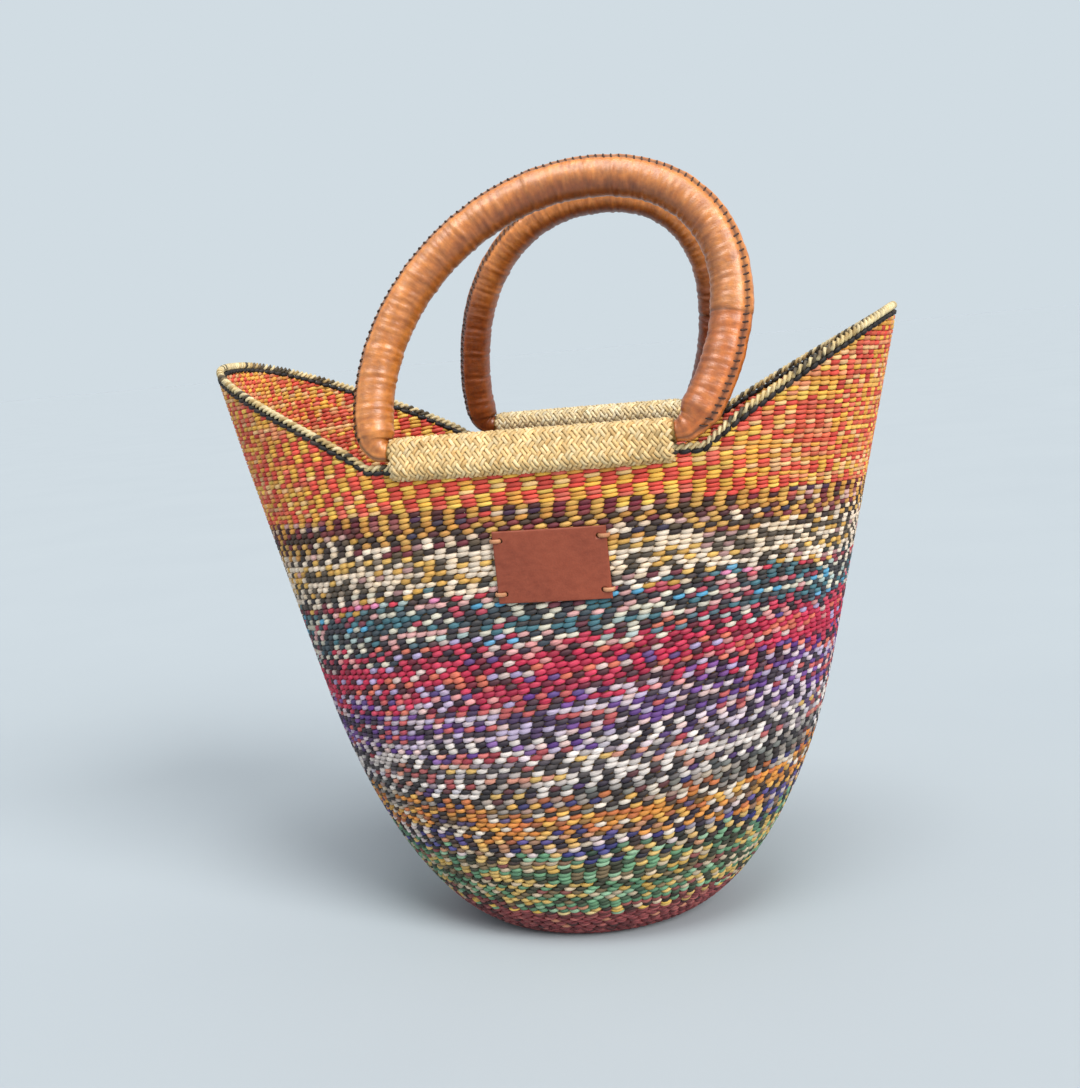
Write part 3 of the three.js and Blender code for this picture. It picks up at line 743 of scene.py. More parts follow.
def plain_row(centre, normal, up, pitch, stakes, shift, dyes):
    """A whole row in one mix of dyes."""
    count = len(centre)
    return {
        "centre": centre, "outward": normal, "up": up, "pitch": pitch, "stakes": stakes,
        "shift": shift, "valid": np.ones(count, bool), "tuck": np.ones(count),
        "dyes": (dyes, dyes), "strays": (dyes, dyes), "stray_share": np.zeros(count),
    }


def wander(angle, height):
    waves = [np.sin(turns * angle + height / rise) for turns, rise in WANDER_WAVES]
    return ROW_WANDER * sum(waves) / len(waves)


def wall_row(low, high, stakes, end_density, colouring):
    """A row of the wall between two heights at the middle of a face, with where it may be seen."""
    level = (low + high) / 2
    angle = row_stations(level_line(level), stakes, STITCH_STEPS, end_density)
    moved = wander(angle, level)
    foot = outer_point(angle, np.maximum(0, row_height(low, angle) + moved * (low > 0)))
    head = outer_point(angle, row_height(high, angle) + moved)
    z = np.maximum(DERIVATIVE_STEP, row_height(level, angle) + moved)
    edge = edge_height(angle)
    top = edge - np.where(in_slot(angle), SLOT_TOP_DROP, WEAVE_TOP_DROP)
    end_share = smoothstep(np.abs(np.cos(angle)), *ORDERED_REACH)
    end_strays = END_STRAY_SHARE if colouring["checked"] else 0
    return {
        **colouring,
        "centre": wall_point(angle, z, MID_WALL),
        "outward": outward(angle, z),
        "up": unit(head - foot),
        "pitch": np.linalg.norm(head - foot, axis=-1),
        "stakes": stakes,
        "valid": z < top,
        "tuck": 1 - TUCK_SHARE * (1 - smoothstep(edge - z, TUCK_TO_DROP, TUCK_FROM_DROP)),
        "stray_share": colouring["stray_share"] + end_strays * end_share,
    }


def rows_between(low, high, row_pitch, rng):
    """Heights at the middle of a face that part a band into rows of about one pitch along the wall."""
    levels = np.linspace(low, high, LEVEL_SAMPLES)
    lengths = np.zeros(len(levels))
    for angle in MEASURED_ANGLES:
        points = outer_point(angle, row_height(levels, angle))
        lengths += lengths_along(points) / len(MEASURED_ANGLES)
    rows = max(1, round(lengths[-1] / row_pitch))
    tall = np.cumsum(1 + ROW_PITCH_JITTER * rng.uniform(-1, 1, rows))
    return np.interp(np.concatenate([[0], tall / tall[-1] * lengths[-1]]), lengths, levels)


def even_stakes(length, spacing=STAKE_SPACING):
    return 2 * max(2, round(length / spacing / 2))


def row_colouring(order, number, rows, rng):
    """The dyes of one row of a band. Rows next to another band take some of its straws."""
    band = BANDS[order]
    checks = band.get("checks")
    jitter = CHECK_JITTER * rng.uniform(-1, 1)
    if checks:
        shift = (number // checks) % 2 + jitter
        strays = (band["ends"], band["ends"])
    else:
        shift = rng.integers(0, 2) + STITCH_JITTER * jitter
        strays = (band["ground"], band["lead"])
    dyes = (band["lead"], band["ground"])
    if number == rows - 1 and "top" in band:
        dyes = band["top"]
    elif number < BLENDED_ROWS and order and not checks:
        strays = (BANDS[order - 1]["lead"], BANDS[order - 1]["ground"])
    elif number >= rows - BLENDED_ROWS and order + 1 < len(BANDS):
        strays = (BANDS[order + 1]["lead"], BANDS[order + 1]["ground"])
    return {
        "dyes": dyes,
        "strays": strays,
        "stray_share": 0 if checks else band.get("stray", STRAY_SHARE),
        "shift": shift,
        "checked": bool(checks),
    }


def make_bands(rng, straw):
    low = 0
    for order, band in enumerate(BANDS):
        high = low + band["height"]
        checked = "checks" in band
        levels = rows_between(low, high, band.get("row_pitch", ROW_PITCH), rng)
        length = loop_length(level_line((low + min(high, DIP_HEIGHT)) / 2))
        stakes = even_stakes(length, CHECK_STAKE_SPACING if checked else STAKE_SPACING)
        end_density = CHECK_END_DENSITY if checked else END_DENSITY
        rows = len(levels) - 1
        for first in range(0, rows, ROWS_PER_PIECE):
            strands = Strands()
            for number in range(first, min(first + ROWS_PER_PIECE, rows)):
                colouring = row_colouring(order, number, rows, rng)
                row = wall_row(levels[number], levels[number + 1], stakes, end_density, colouring)
                add_twined_row(strands, rng, row)
            piece = strands.build(f"{band['node']}_rows_{first + 1}", straw)
            place(piece, "basket", band["slot"], band["node"])
        low = high


def make_base(rng, straw):
    """Rings of twining that close the base, round a thin layer of stakes."""
    strands = Strands()
    rim = outer_point(ring_turns(DENSE_ANGLES), 0)
    rings = round((BASE_HALF_LENGTH + BASE_HALF_DEPTH) / 2 / ROW_PITCH)
    for number in range(1, rings):
        share = (number + 0.5) / rings - 1 / rings
        path = rim * share
        stakes = even_stakes(loop_length(path))
        angle = row_stations(path, stakes, STITCH_STEPS)
        edge = outer_point(angle, 0)
        centre = edge * share
        centre[:, 2] = MID_WALL
        down = np.tile([0.0, 0.0, -1.0], (len(angle), 1))
        pitch = np.linalg.norm(edge, axis=-1) / rings
        shift = int(rng.integers(0, 2))
        row = plain_row(centre, down, unit(edge), pitch, stakes, shift, BASE_DYES)
        add_twined_row(strands, rng, row)
    shares = np.linspace(BASE_LAYER_FROM, 1, BASE_LAYER_RINGS)
    disc = rim[::DENSE_ANGLES // BASE_LAYER_SIDES]
    upper = [disc * share + [0, 0, MID_WALL + STAKE_HALF_THICKNESS] for share in shares]
    lower = [disc * share + [0, 0, MID_WALL - STAKE_HALF_THICKNESS] for share in shares[::-1]]
    layers = np.array(upper + lower)
    along = np.arange(len(layers)) * BASE_LAYER_STEP
    strands.add_grid(layers, one_dye(BASE_LAYER_DYE, len(layers)), along, closed=True)
    piece = strands.build("base_weave", straw)
    place(piece, "basket", "red_straw", "base_disc")


def make_stakes(rng, straw):
    """Flat upright straws between the two straws of every row."""
    stakes = even_stakes(loop_length(level_line(DIP_HEIGHT)))
    levels = np.arange(DERIVATIVE_STEP, TIP_HEIGHT + ROW_SWING, STAKE_LEVEL_STEP)
    lines = [level_line(level) for level in levels]
    angles = np.array([row_stations(line, stakes, 1) for line in lines])
    spacings = np.array([loop_length(line) / stakes for line in lines])
    z = row_height(levels[:, None], angles)
    drop = np.where(in_slot(angles), SLOT_TOP_DROP, STAKE_TOP_DROP)
    below = z < edge_height(angles) - drop
    strands = Strands()
    for number in range(stakes):
        chosen = np.flatnonzero(below[:, number])
        angle, height = angles[chosen, number], z[chosen, number]
        normal = outward(angle, height)
        centre = wall_point(angle, height, MID_WALL)
        sideways = unit(np.cross(np.gradient(centre, axis=0), normal))
        half_width = STAKE_WIDTH_SHARE * spacings[chosen]
        dyes = np.tile(plain_colours(rng, STAKE_DYES, 1), (len(chosen), 1))
        strands.add_tube(centre, normal * STAKE_HALF_THICKNESS, sideways * half_width[:, None], dyes)
    piece = strands.build("upright_stakes", straw)
    place(piece, "basket", "stake_straw", "warp_stakes")


# Rim

def rim_path(drop, stakes, steps):
    """Stations along the rim at a depth below its edge, with directions out of and up the wall."""
    angle = row_stations(rim_line(drop), stakes, steps)
    z = edge_height(angle) - drop
    normal = outward(angle, z)
    centre = wall_point(angle, z, MID_WALL)
    return centre, normal, unit(np.cross(normal, directions(centre, closed=True)))


def make_border(rng, straw):
    stakes = even_stakes(loop_length(rim_line(BORDER_DROP)))
    centre, normal, up = rim_path(BORDER_DROP, stakes, STITCH_STEPS)
    pitch = np.full(len(centre), BORDER_PITCH)
    strands = Strands()
    add_twined_row(strands, rng, plain_row(centre, normal, up, pitch, stakes, 0, BORDER_DYES))
    piece = strands.build("black_border_weave", straw)
    place(piece, "basket", "black_straw", "black_border")


def under_feet(points):
    """1 along the rim below the feet of the handles, falling to 0 beside them."""
    share = np.zeros(len(points))
    for handle in HANDLES.values():
        from_foot = np.abs(np.abs(points[:, 0] - handle["centre"]) - handle["foot_half_span"])
        near = smoothstep(from_foot, ROLL_PRESS_REACH, ROLL_PRESS_REACH / 2)
        share += near * (points[:, 1] * handle["side"] > 0)
    return share


def make_roll(rng, straw):
    """The edge: straws twisted together round the rim, pressed down a little by the handles' feet."""
    twists = round(loop_length(rim_line(ROLL_DROP)) / ROLL_TWIST_LENGTH)
    steps = round(ROLL_TWIST_LENGTH / ROLL_STATION_LENGTH)
    centre, normal, up = rim_path(ROLL_DROP, twists, steps)
    centre = centre - up * (ROLL_PRESS * under_feet(centre))[:, None]
    across, upward = normal * ROLL_STRAND_RADIUS, up * ROLL_STRAND_RADIUS
    strands = Strands()
    for number in range(ROLL_STRANDS):
        twist = np.arange(len(centre)) / steps + number / ROLL_STRANDS
        turn = 2 * math.pi * twist
        offset = normal * np.cos(turn)[:, None] + up * np.sin(turn)[:, None]
        dyes = plain_colours(rng, ROLL_DYES, twists)[np.floor(twist).astype(int) % twists]
        strands.add_tube(centre + offset * ROLL_HELIX_RADIUS, across, upward, dyes, closed=True)
    piece = strands.build("rim_roll_twist", straw)
    place(piece, "basket", "natural_straw", "rim_roll")


# Handles

def bar_offset():
    return half_depth(DIP_HEIGHT) - BAR_SETBACK


def arch_points(handle, share):
    """The hoop's centre line in its own plane, from the right foot to the left foot."""
    power = 2 / handle["exponent"]
    foot_angle = math.acos((handle["foot_half_span"] / handle["arch_half_width"]) ** (1 / power))
    foot_sine = math.sin(foot_angle) ** power
    rise = handle["arch_height"] / (1 + foot_sine)
    turn = -foot_angle + (math.pi + 2 * foot_angle) * np.asarray(share, float)
    h = rise * (foot_sine + signed_power(np.sin(turn), power))
    x = handle["centre"] + handle["arch_half_width"] * signed_power(np.cos(turn), power)
    return np.stack([x + handle["skew"] * h / handle["arch_height"], h], axis=-1)


def foot_curve(handle, share, inward, steps):
    """A foot's bend, from the leg to the bar, as points from 0 at the leg to 1 at the bar."""
    foot, near = arch_points(handle, [share, abs(share - DERIVATIVE_STEP)])
    top = foot + unit(near - foot) * FOOT_BEND
    end = foot + np.array([inward * FOOT_BEND, 0])
    t = np.asarray(steps, float)[:, None]
    return (1 - t) ** 2 * top + 2 * t * (1 - t) * foot + t ** 2 * end


def hoop_line(handle, foot_steps, closed=False):
    """The hoop's line from the right foot to the left foot, and back along the bar if it is closed."""
    right = foot_curve(handle, 0, -1, foot_steps[::-1])
    left = foot_curve(handle, 1, 1, foot_steps)
    dense = arch_points(handle, np.linspace(0, 1, ARCH_SAMPLES))
    arch = dense[dense[:, 1] > max(right[-1][1], left[0][1]) + DERIVATIVE_STEP]
    parts = [right, arch, left]
    if closed:
        share = np.linspace(0, 1, BAR_SAMPLES)[1:-1, None]
        parts.append(left[-1] + (right[0] - left[-1]) * share)
    return np.concatenate(parts)


def at_lengths(wanted, lengths, line):
    """Points of a flat line at the wanted lengths along it."""
    return np.stack([np.interp(wanted, lengths, line[:, k]) for k in (0, 1)], axis=-1)


def evenly(line, count, closed=False):
    """The same line with evenly spaced points, and how far along it they lie."""
    full = np.concatenate([line, line[:1]]) if closed else line
    lengths = lengths_along(full)
    wanted = np.linspace(0, lengths[-1], count, endpoint=not closed)
    return at_lengths(wanted, lengths, full), wanted


def sleeve_line(handle):
    steps = np.linspace(0, TOE_SHARE, SLEEVE_FOOT_STEPS)
    return evenly(hoop_line(handle, steps), SLEEVE_STATIONS)


def hoop_point(handle, flat, square):
    """A point of a hoop, from its place in the hoop's plane and its distance square to that plane."""
    h = flat[..., 1]
    depth = bar_offset() - h * math.sin(HOOP_LEAN) + square * math.cos(HOOP_LEAN)
    z = BAR_HEIGHT + h * math.cos(HOOP_LEAN) + square * math.sin(HOOP_LEAN)
    return np.stack([flat[..., 0], handle["side"] * depth, z], axis=-1)


def leftward(forward):
    return np.stack([-forward[:, 1], forward[:, 0]], axis=-1)


def hoop_rings(handle, line, radius, closed=False):
    """Rings of points round the hoop's line: radius is rings by sides."""
    across = leftward(directions(line, closed))
    turn = ring_turns(radius.shape[1])
    flat = line[:, None] + across[:, None] * (radius * np.cos(turn))[..., None]
    return hoop_point(handle, flat, radius * np.sin(turn))


def core_radius(handle, h, taper_height):
    full = handle["sleeve_radius"] - LEATHER_THICKNESS - FIT_GAP
    return BAR_RADIUS + (full - BAR_RADIUS) * smoothstep(h, 0, taper_height)


def toe_taper(along):
    """1 over the arch, and 0 at the ends of the sleeve, where the leather draws in to the bar."""
    from_end = np.minimum(along, along[-1] - along)
    return smoothstep(from_end, 0, TOE_LENGTH)


def sleeve_radius(handle, line, along):
    core = core_radius(handle, line[:, 1], SLEEVE_TAPER_HEIGHT)
    plain = (core + FIT_GAP) * SLEEVE_ALLOWANCE + LEATHER_THICKNESS
    return TOE_RADIUS + (plain - TOE_RADIUS) * toe_taper(along)


def wrinkles(handle, along, turn):
    """How far the leather stands out: creases across the tube, deeper on its inner side, and dents."""
    rng = np.random.default_rng(handle["seed"])
    around = turn + np.zeros((len(along), 1))
    bent = along[:, None] + CREASE_BEND * ripple(around, rng, CREASE_BEND_WAVES)
    creases = ripple(bent, rng, CREASE_WAVES)
    dents = ripple(bent, rng, DENT_WAVES)
    inner = 0.5 + 0.5 * np.cos(turn)[None]
    deeper = CREASE_OUTER_SHARE + CREASE_INNER_SHARE * inner
    return CREASE_DEPTH * creases * deeper + DENT_DEPTH * dents


def beside_seam(handle, turn):
    """How far round the tube each side lies from the seam."""
    return (turn - handle["seam_angle"] + math.pi) % (2 * math.pi) - math.pi


def sleeve_tone(handle, along, turn):
    """Darker and paler leather: the seam with a painted highlight on its edges, the piece below the
    overlap, and painted shade inside the arch and down the back handle's legs.
    """
    beside = np.abs(beside_seam(handle, turn))[None]
    tone = 1 + peak(beside, *SEAM_DARKENING) + peak(beside, *SEAM_PAINTED_HIGHLIGHT)
    tone = tone * (1 + peak(along, *OVERLAP_DARKENING))[:, None]
    below = smoothstep(along, OVERLAP_FROM_RIGHT, OVERLAP_FROM_RIGHT - 2 * OVERLAP_EDGE)[:, None]
    # Painted shade: darker on the inner side over the arch and, where leg_shade is set, down the legs
    over_arch = np.sin(math.pi * along / along[-1])[:, None] ** 2
    inner = smoothstep(np.cos(turn), *INNER_REACH)[None]
    leg = handle["leg_shade"] * (1 - smoothstep(over_arch, *LEG_REACH))
    shade = np.maximum(handle["inner_shade"] * inner * over_arch, leg)[..., None]
    lower_piece = 1 - below[..., None] * (1 - np.array(LOWER_PIECE_TONE))
    return tone[..., None] * lower_piece * (1 - shade * (1 - np.array(PAINTED_SHADE_TONE)))


def make_sleeve(name, handle, leather):
    line, along = sleeve_line(handle)
    turn = ring_turns(SLEEVE_SIDES)
    beside = np.abs(beside_seam(handle, turn))[None]
    seam = peak(beside, *SEAM_RIDGE) + peak(beside, *SEAM_GROOVE)
    rise = smoothstep(along, OVERLAP_FROM_RIGHT - OVERLAP_EDGE, OVERLAP_FROM_RIGHT)
    fade = smoothstep(along, OVERLAP_FROM_RIGHT + OVERLAP_FADE, OVERLAP_FROM_RIGHT)
    overlap = (OVERLAP_STEP * rise * fade)[:, None]
    relief = (wrinkles(handle, along, turn) + seam + overlap) * toe_taper(along)[:, None]
    radius = sleeve_radius(handle, line, along)[:, None] + relief
    rings = hoop_rings(handle, line, radius)
    strands = Strands()
    strands.add_grid(rings, sleeve_tone(handle, along, turn), along)
    piece = strands.build(f"{name}_handle_sleeve", leather)
    place(piece, f"{name}_handle", "tan_leather", f"{name}_handle_leather")


def make_seam(name, handle, thread):
    """Lacing that closes the sleeve along its seam."""
    line, along = sleeve_line(handle)
    radius = sleeve_radius(handle, line, along)
    stitches = round(along[-1] / LACING_SPACING)
    t = np.linspace(-1, 1, LACING_POINTS)
    dyes = one_dye(LACING_DYE, LACING_POINTS)
    strands = Strands()
    for number in range(LACING_BARE_RIGHT, stitches - LACING_BARE_LEFT):
        at = along[-1] * number / stitches + LACING_ADVANCE * t
        flat = at_lengths(at, along, line)
        reach = np.interp(at, along, radius)
        turn = handle["seam_angle"] + t * LACING_HALF_LENGTH / reach
        lift = reach + LACING_RADIUS * (LACING_RISE - LACING_SINK * np.abs(t) ** 3)
        behind = at_lengths(at - LACING_TANGENT_REACH, along, line)
        ahead = at_lengths(at + LACING_TANGENT_REACH, along, line)
        across = leftward(unit(ahead - behind)) * (lift * np.cos(turn))[:, None]
        centres = hoop_point(handle, flat + across, lift * np.sin(turn))
        outer = unit(centres - hoop_point(handle, flat, 0))
        sideways = unit(np.cross(outer, directions(centres)))
        strands.add_tube(centres, outer * LACING_RADIUS, sideways * LACING_RADIUS, dyes)
    piece = strands.build(f"{name}_seam_lacing", thread)
    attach(piece, f"{name}_handle")


def make_core(name, handle, straw):
    """The bundle of grass inside the sleeve, which is bare only under the binding."""
    foot_steps = np.linspace(0, 1, CORE_FOOT_STEPS)
    line, along = evenly(hoop_line(handle, foot_steps, closed=True), SLEEVE_STATIONS, closed=True)
    turn = CORE_STRAWS * ring_turns(CORE_SIDES)[None] + CORE_TWIST * along[:, None]
    bundle = 1 - CORE_GROOVE * (1 - np.cos(turn))
    radius = core_radius(handle, line[:, 1], FOOT_TAPER_HEIGHT)[:, None] * CORE_SHARE * bundle
    strands = Strands()
    rings = hoop_rings(handle, line, radius, closed=True)
    strands.add_grid(rings, one_dye(CORE_DYE, len(line)), along, closed=True)
    piece = strands.build(f"{name}_grass_core", straw)
    place(piece, f"{name}_handle", "core_grass", f"{name}_handle_core")


# Straw bindings

def rim_depth(handle, x):
    """Y of the middle of the rim at x, on the handle's side."""
    angle = angle_at(x, DIP_HEIGHT, handle["side"])
    return wall_point(angle, DIP_HEIGHT - ROLL_DROP, MID_WALL)[:, 1]


def belt_points(handle, x, turn):
    """The line round the bar and the rim together, at x, in the direction of each turn about X."""
    rim_y = rim_depth(handle, x)
    bar_y = handle["side"] * bar_offset()
    rim_z = DIP_HEIGHT - RIM_BUNDLE_DROP
    bar_reach = BAR_RADIUS + WINDING_RADIUS
    rim_reach = RIM_BUNDLE_RADIUS + WINDING_RADIUS
    cosine, sine = np.cos(turn), np.sin(turn)
    from_bar = bar_y * cosine + BAR_HEIGHT * sine + bar_reach
    from_rim = rim_y * cosine + rim_z * sine + rim_reach
    on_bar = smoothstep(from_bar - from_rim, -BELT_BLEND, BELT_BLEND)
    y = on_bar * (bar_y + bar_reach * cosine) + (1 - on_bar) * (rim_y + rim_reach * cosine)
    z = on_bar * (BAR_HEIGHT + bar_reach * sine) + (1 - on_bar) * (rim_z + rim_reach * sine)
    return np.stack([x, y, z], axis=-1)


def belt_loops(handle, places):
    """Turns about X, and how far round the belt each of them lies, as a share, at each x of places."""
    turns = np.linspace(-0.5, 1.5, BELT_TURNS) * math.pi
    shares = []
    for x in places:
        lengths = lengths_along(belt_points(handle, np.full_like(turns, x), turns))
        shares.append(lengths / lengths[-1])
    return turns, shares


def add_filling(strands, handle, half_span):
    """Straws that fill the ends of a binding, on both sides of the rim below the bar."""
    dyes = one_dye(FILLING_DYE, FILLING_POINTS)
    sideways = np.tile([0, FILLING_RADIUS, 0], (FILLING_POINTS, 1))
    upright = np.tile([0, 0, FILLING_RADIUS], (FILLING_POINTS, 1))
    reach = (half_span - FILLING_LENGTH, half_span - PLAIT_HALF_WIDTH)
    for end, way, drop in itertools.product((-1, 1), (-1, 1), FILLING_DROPS):
        x = handle["centre"] + end * np.linspace(*reach, FILLING_POINTS)
        y = rim_depth(handle, x) + way * FILLING_ASIDE
        centre = np.stack([x, y, np.full_like(x, DIP_HEIGHT - drop)], axis=-1)
        strands.add_tube(centre, sideways, upright, dyes)


def make_binding(name, handle, rng, straw):
    """Straws plaited round the bar and the rim: half go round each way, in pairs, over and under."""
    half_span = handle["foot_half_span"] - FOOT_BEND - FOOT_CLEARANCE
    aside = np.linspace(-half_span, half_span, round(2 * half_span / PLAIT_STEP))
    x = handle["centre"] + aside
    turns, shares = belt_loops(handle, x)
    tucked = PLAIT_TUCK * (1 - smoothstep(half_span - np.abs(aside), 0, PLAIT_TUCK_LENGTH))
    crossings = 2 * math.pi * aside * PLAIT_PAIRS / PLAIT_ADVANCE
    runs = len(aside) // PLAIT_RUN + 1
    strands = Strands()
    for way, number in itertools.product((-1, 1), range(2 * PLAIT_PAIRS)):
        beside = PAIR_OFFSET if number % 2 else -PAIR_OFFSET
        share = (number // 2 + beside) / PLAIT_PAIRS + way * aside / PLAIT_ADVANCE
        turn = np.array([np.interp(spot % 1, loop, turns) for spot, loop in zip(share, shares)])
        over = way * np.cos(crossings + way * math.pi * beside)
        uneven = PLAIT_UNEVENNESS * ripple(aside, rng, PLAIT_WAVES)
        stand = PLAIT_LIFT * signed_power(over, STITCH_SQUARENESS) + uneven - tucked
        outer = np.stack([np.zeros_like(turn), np.cos(turn), np.sin(turn)], axis=-1)
        centre = belt_points(handle, x, turn) + outer * stand[:, None]
        sideways = unit(np.cross(outer, directions(centre)))
        # On the back binding the dyes are paler: painted light
        dyes = plain_colours(rng, WINDING_DYES[name], runs)[np.arange(len(aside)) // PLAIT_RUN]
        strands.add_tube(
            centre, outer * PLAIT_HALF_THICKNESS, sideways * PLAIT_HALF_WIDTH, dyes,
            flatness=STRAW_FLATNESS,
        )
    add_filling(strands, handle, half_span)
    piece = strands.build(f"{name}_straw_binding", straw)
    place(piece, "basket", "natural_straw", f"{name}_binding")


# Leather patch

def front_point(x, z, stand):
    angle = angle_at(x, z, -1)
    return wall_point(angle, z, -stand)


def tie_corners():
    span_x = PATCH_WIDTH / 2 - TIE_INSET_SIDE
    span_z = PATCH_HEIGHT / 2 - TIE_INSET_TOP
    return [
        (aside, PATCH_CENTRE_X + aside * span_x, PATCH_CENTRE_Z + up * span_z)
        for aside in (-1, 1) for up in (-1, 1)
    ]


def patch_steps(size):
    """Places across the patch, closer together at its rounded edges."""
    inner = np.linspace(PATCH_EDGE_ROUND, size - PATCH_EDGE_ROUND, round(size / PATCH_STEP))
    rounded = PATCH_EDGE_ROUND * (1 - np.cos(np.linspace(0, math.pi / 2, PATCH_EDGE_STEPS)))
    return np.concatenate([rounded[:-1], inner, size - rounded[:-1][::-1]])


def make_patch(leather):
    x = patch_steps(PATCH_WIDTH)
    z = patch_steps(PATCH_HEIGHT)
    to_side = np.minimum(x, PATCH_WIDTH - x)[:, None]
    to_end = np.minimum(z, PATCH_HEIGHT - z)[None]
    inside = np.minimum(np.minimum(to_side, to_end), PATCH_EDGE_ROUND)
    bulge = np.sqrt(PATCH_EDGE_ROUND ** 2 - (PATCH_EDGE_ROUND - inside) ** 2)
    grid_x = PATCH_CENTRE_X - PATCH_WIDTH / 2 + np.broadcast_to(x[:, None], inside.shape)
    grid_z = PATCH_CENTRE_Z - PATCH_HEIGHT / 2 + np.broadcast_to(z[None], inside.shape)
    face = front_point(grid_x, grid_z, FIT_GAP + PATCH_THICKNESS - PATCH_EDGE_ROUND + bulge)
    back = front_point(grid_x, grid_z, np.full(inside.shape, FIT_GAP))
    columns, rows = inside.shape
    vertices = np.concatenate([face.reshape(-1, 3), back.reshape(-1, 3)]) * MM
    behind = columns * rows
    index = np.arange(behind).reshape(columns, rows)
    faces = []
    for i, k in itertools.product(range(columns - 1), range(rows - 1)):
        quad = [index[i, k], index[i + 1, k], index[i + 1, k + 1], index[i, k + 1]]
        faces.append(quad)
        faces.append([corner + behind for corner in reversed(quad)])
    outline = [*index[:, 0], *index[-1, 1:], *index[-2::-1, -1], *index[0, -2:0:-1]]
    for here, there in zip(outline, outline[1:] + outline[:1]):
        faces.append([there, here, here + behind, there + behind])
    mesh = bpy.data.meshes.new("bare_patch")
    mesh.from_pydata(vertices.tolist(), [], [[int(corner) for corner in quad] for quad in faces])
    mesh.materials.append(leather)
    patch = add_object("bare_patch", mesh)
    cut_holes(patch)
    patch.data.polygons.foreach_set("use_smooth", np.ones(len(patch.data.polygons), bool))
    place(patch, "basket", "patch_leather", "leather_patch")


def cut_holes(patch):
    """Cuts the four holes that the ties go through."""
    for number, (_, x, z) in enumerate(tie_corners()):
        x, z = np.array([x]), np.array([z])
        spot = front_point(x, z, np.array([FIT_GAP]))[0]
        axis = outward(angle_at(x, z, -1), z)[0]
        bpy.ops.mesh.primitive_cylinder_add(
            vertices=HOLE_SIDES, radius=TIE_HOLE_RADIUS * MM, depth=HOLE_DEPTH * MM
        )
        drill = bpy.context.object
        drill.matrix_world = Matrix.Translation(Vector(spot) * MM) @ (
            Vector(axis).to_track_quat("Z", "Y").to_matrix().to_4x4()
        )
        cut = patch.modifiers.new(f"hole_{number}", "BOOLEAN")
        cut.operation = "DIFFERENCE"
        cut.object = drill
        bpy.context.view_layer.objects.active = patch
        bpy.ops.object.modifier_apply(modifier=cut.name)
        bpy.data.objects.remove(drill)


def make_ties(leather):
    """Short laces from each hole over the patch's side edge into the weave."""
    shares, stands = np.array(TIE_COURSE).T
    count = len(TIE_COURSE)
    upright = np.tile([0.0, 0.0, 1.0], (count, 1))
    for number, (aside, x, z) in enumerate(tie_corners()):
        reach = shares * (TIE_INSET_SIDE + TIE_OVERHANG) * aside
        centres = front_point(x + reach, np.full(count, z), stands)
        thick = unit(np.cross(directions(centres), upright)) * TIE_HALF_THICKNESS
        dyes = one_dye(TIE_DYE, count)
        strands = Strands()
        strands.add_tube(centres, thick, upright * TIE_HALF_WIDTH, dyes, sides=TIE_SIDES)
        piece = strands.build(f"patch_lace_{number + 1}", leather)
        place(piece, "basket", "tie_leather", f"patch_tie_{number + 1}")


# Materials

class Nodes:
    """The nodes of a material or a world."""

    def __init__(self, owner):
        owner.use_nodes = True
        self.tree = owner.node_tree

    def give(self, socket, value):
        """Sets a socket to a number, a vector or a colour's code, or joins a node's output to it."""
        if isinstance(value, bpy.types.NodeSocket):
            self.tree.links.new(value, socket)
        elif isinstance(value, str):
            socket.default_value = (*linear(value), 1)
        else:
            socket.default_value = value

    def add(self, kind, inputs, **settings):
        """The outputs of a new node."""
        node = self.tree.nodes.new(kind)
        for key, value in settings.items():
            setattr(node, key, value)
        for socket, value in inputs.items():
            self.give(node.inputs[socket], value)
        return node.outputs


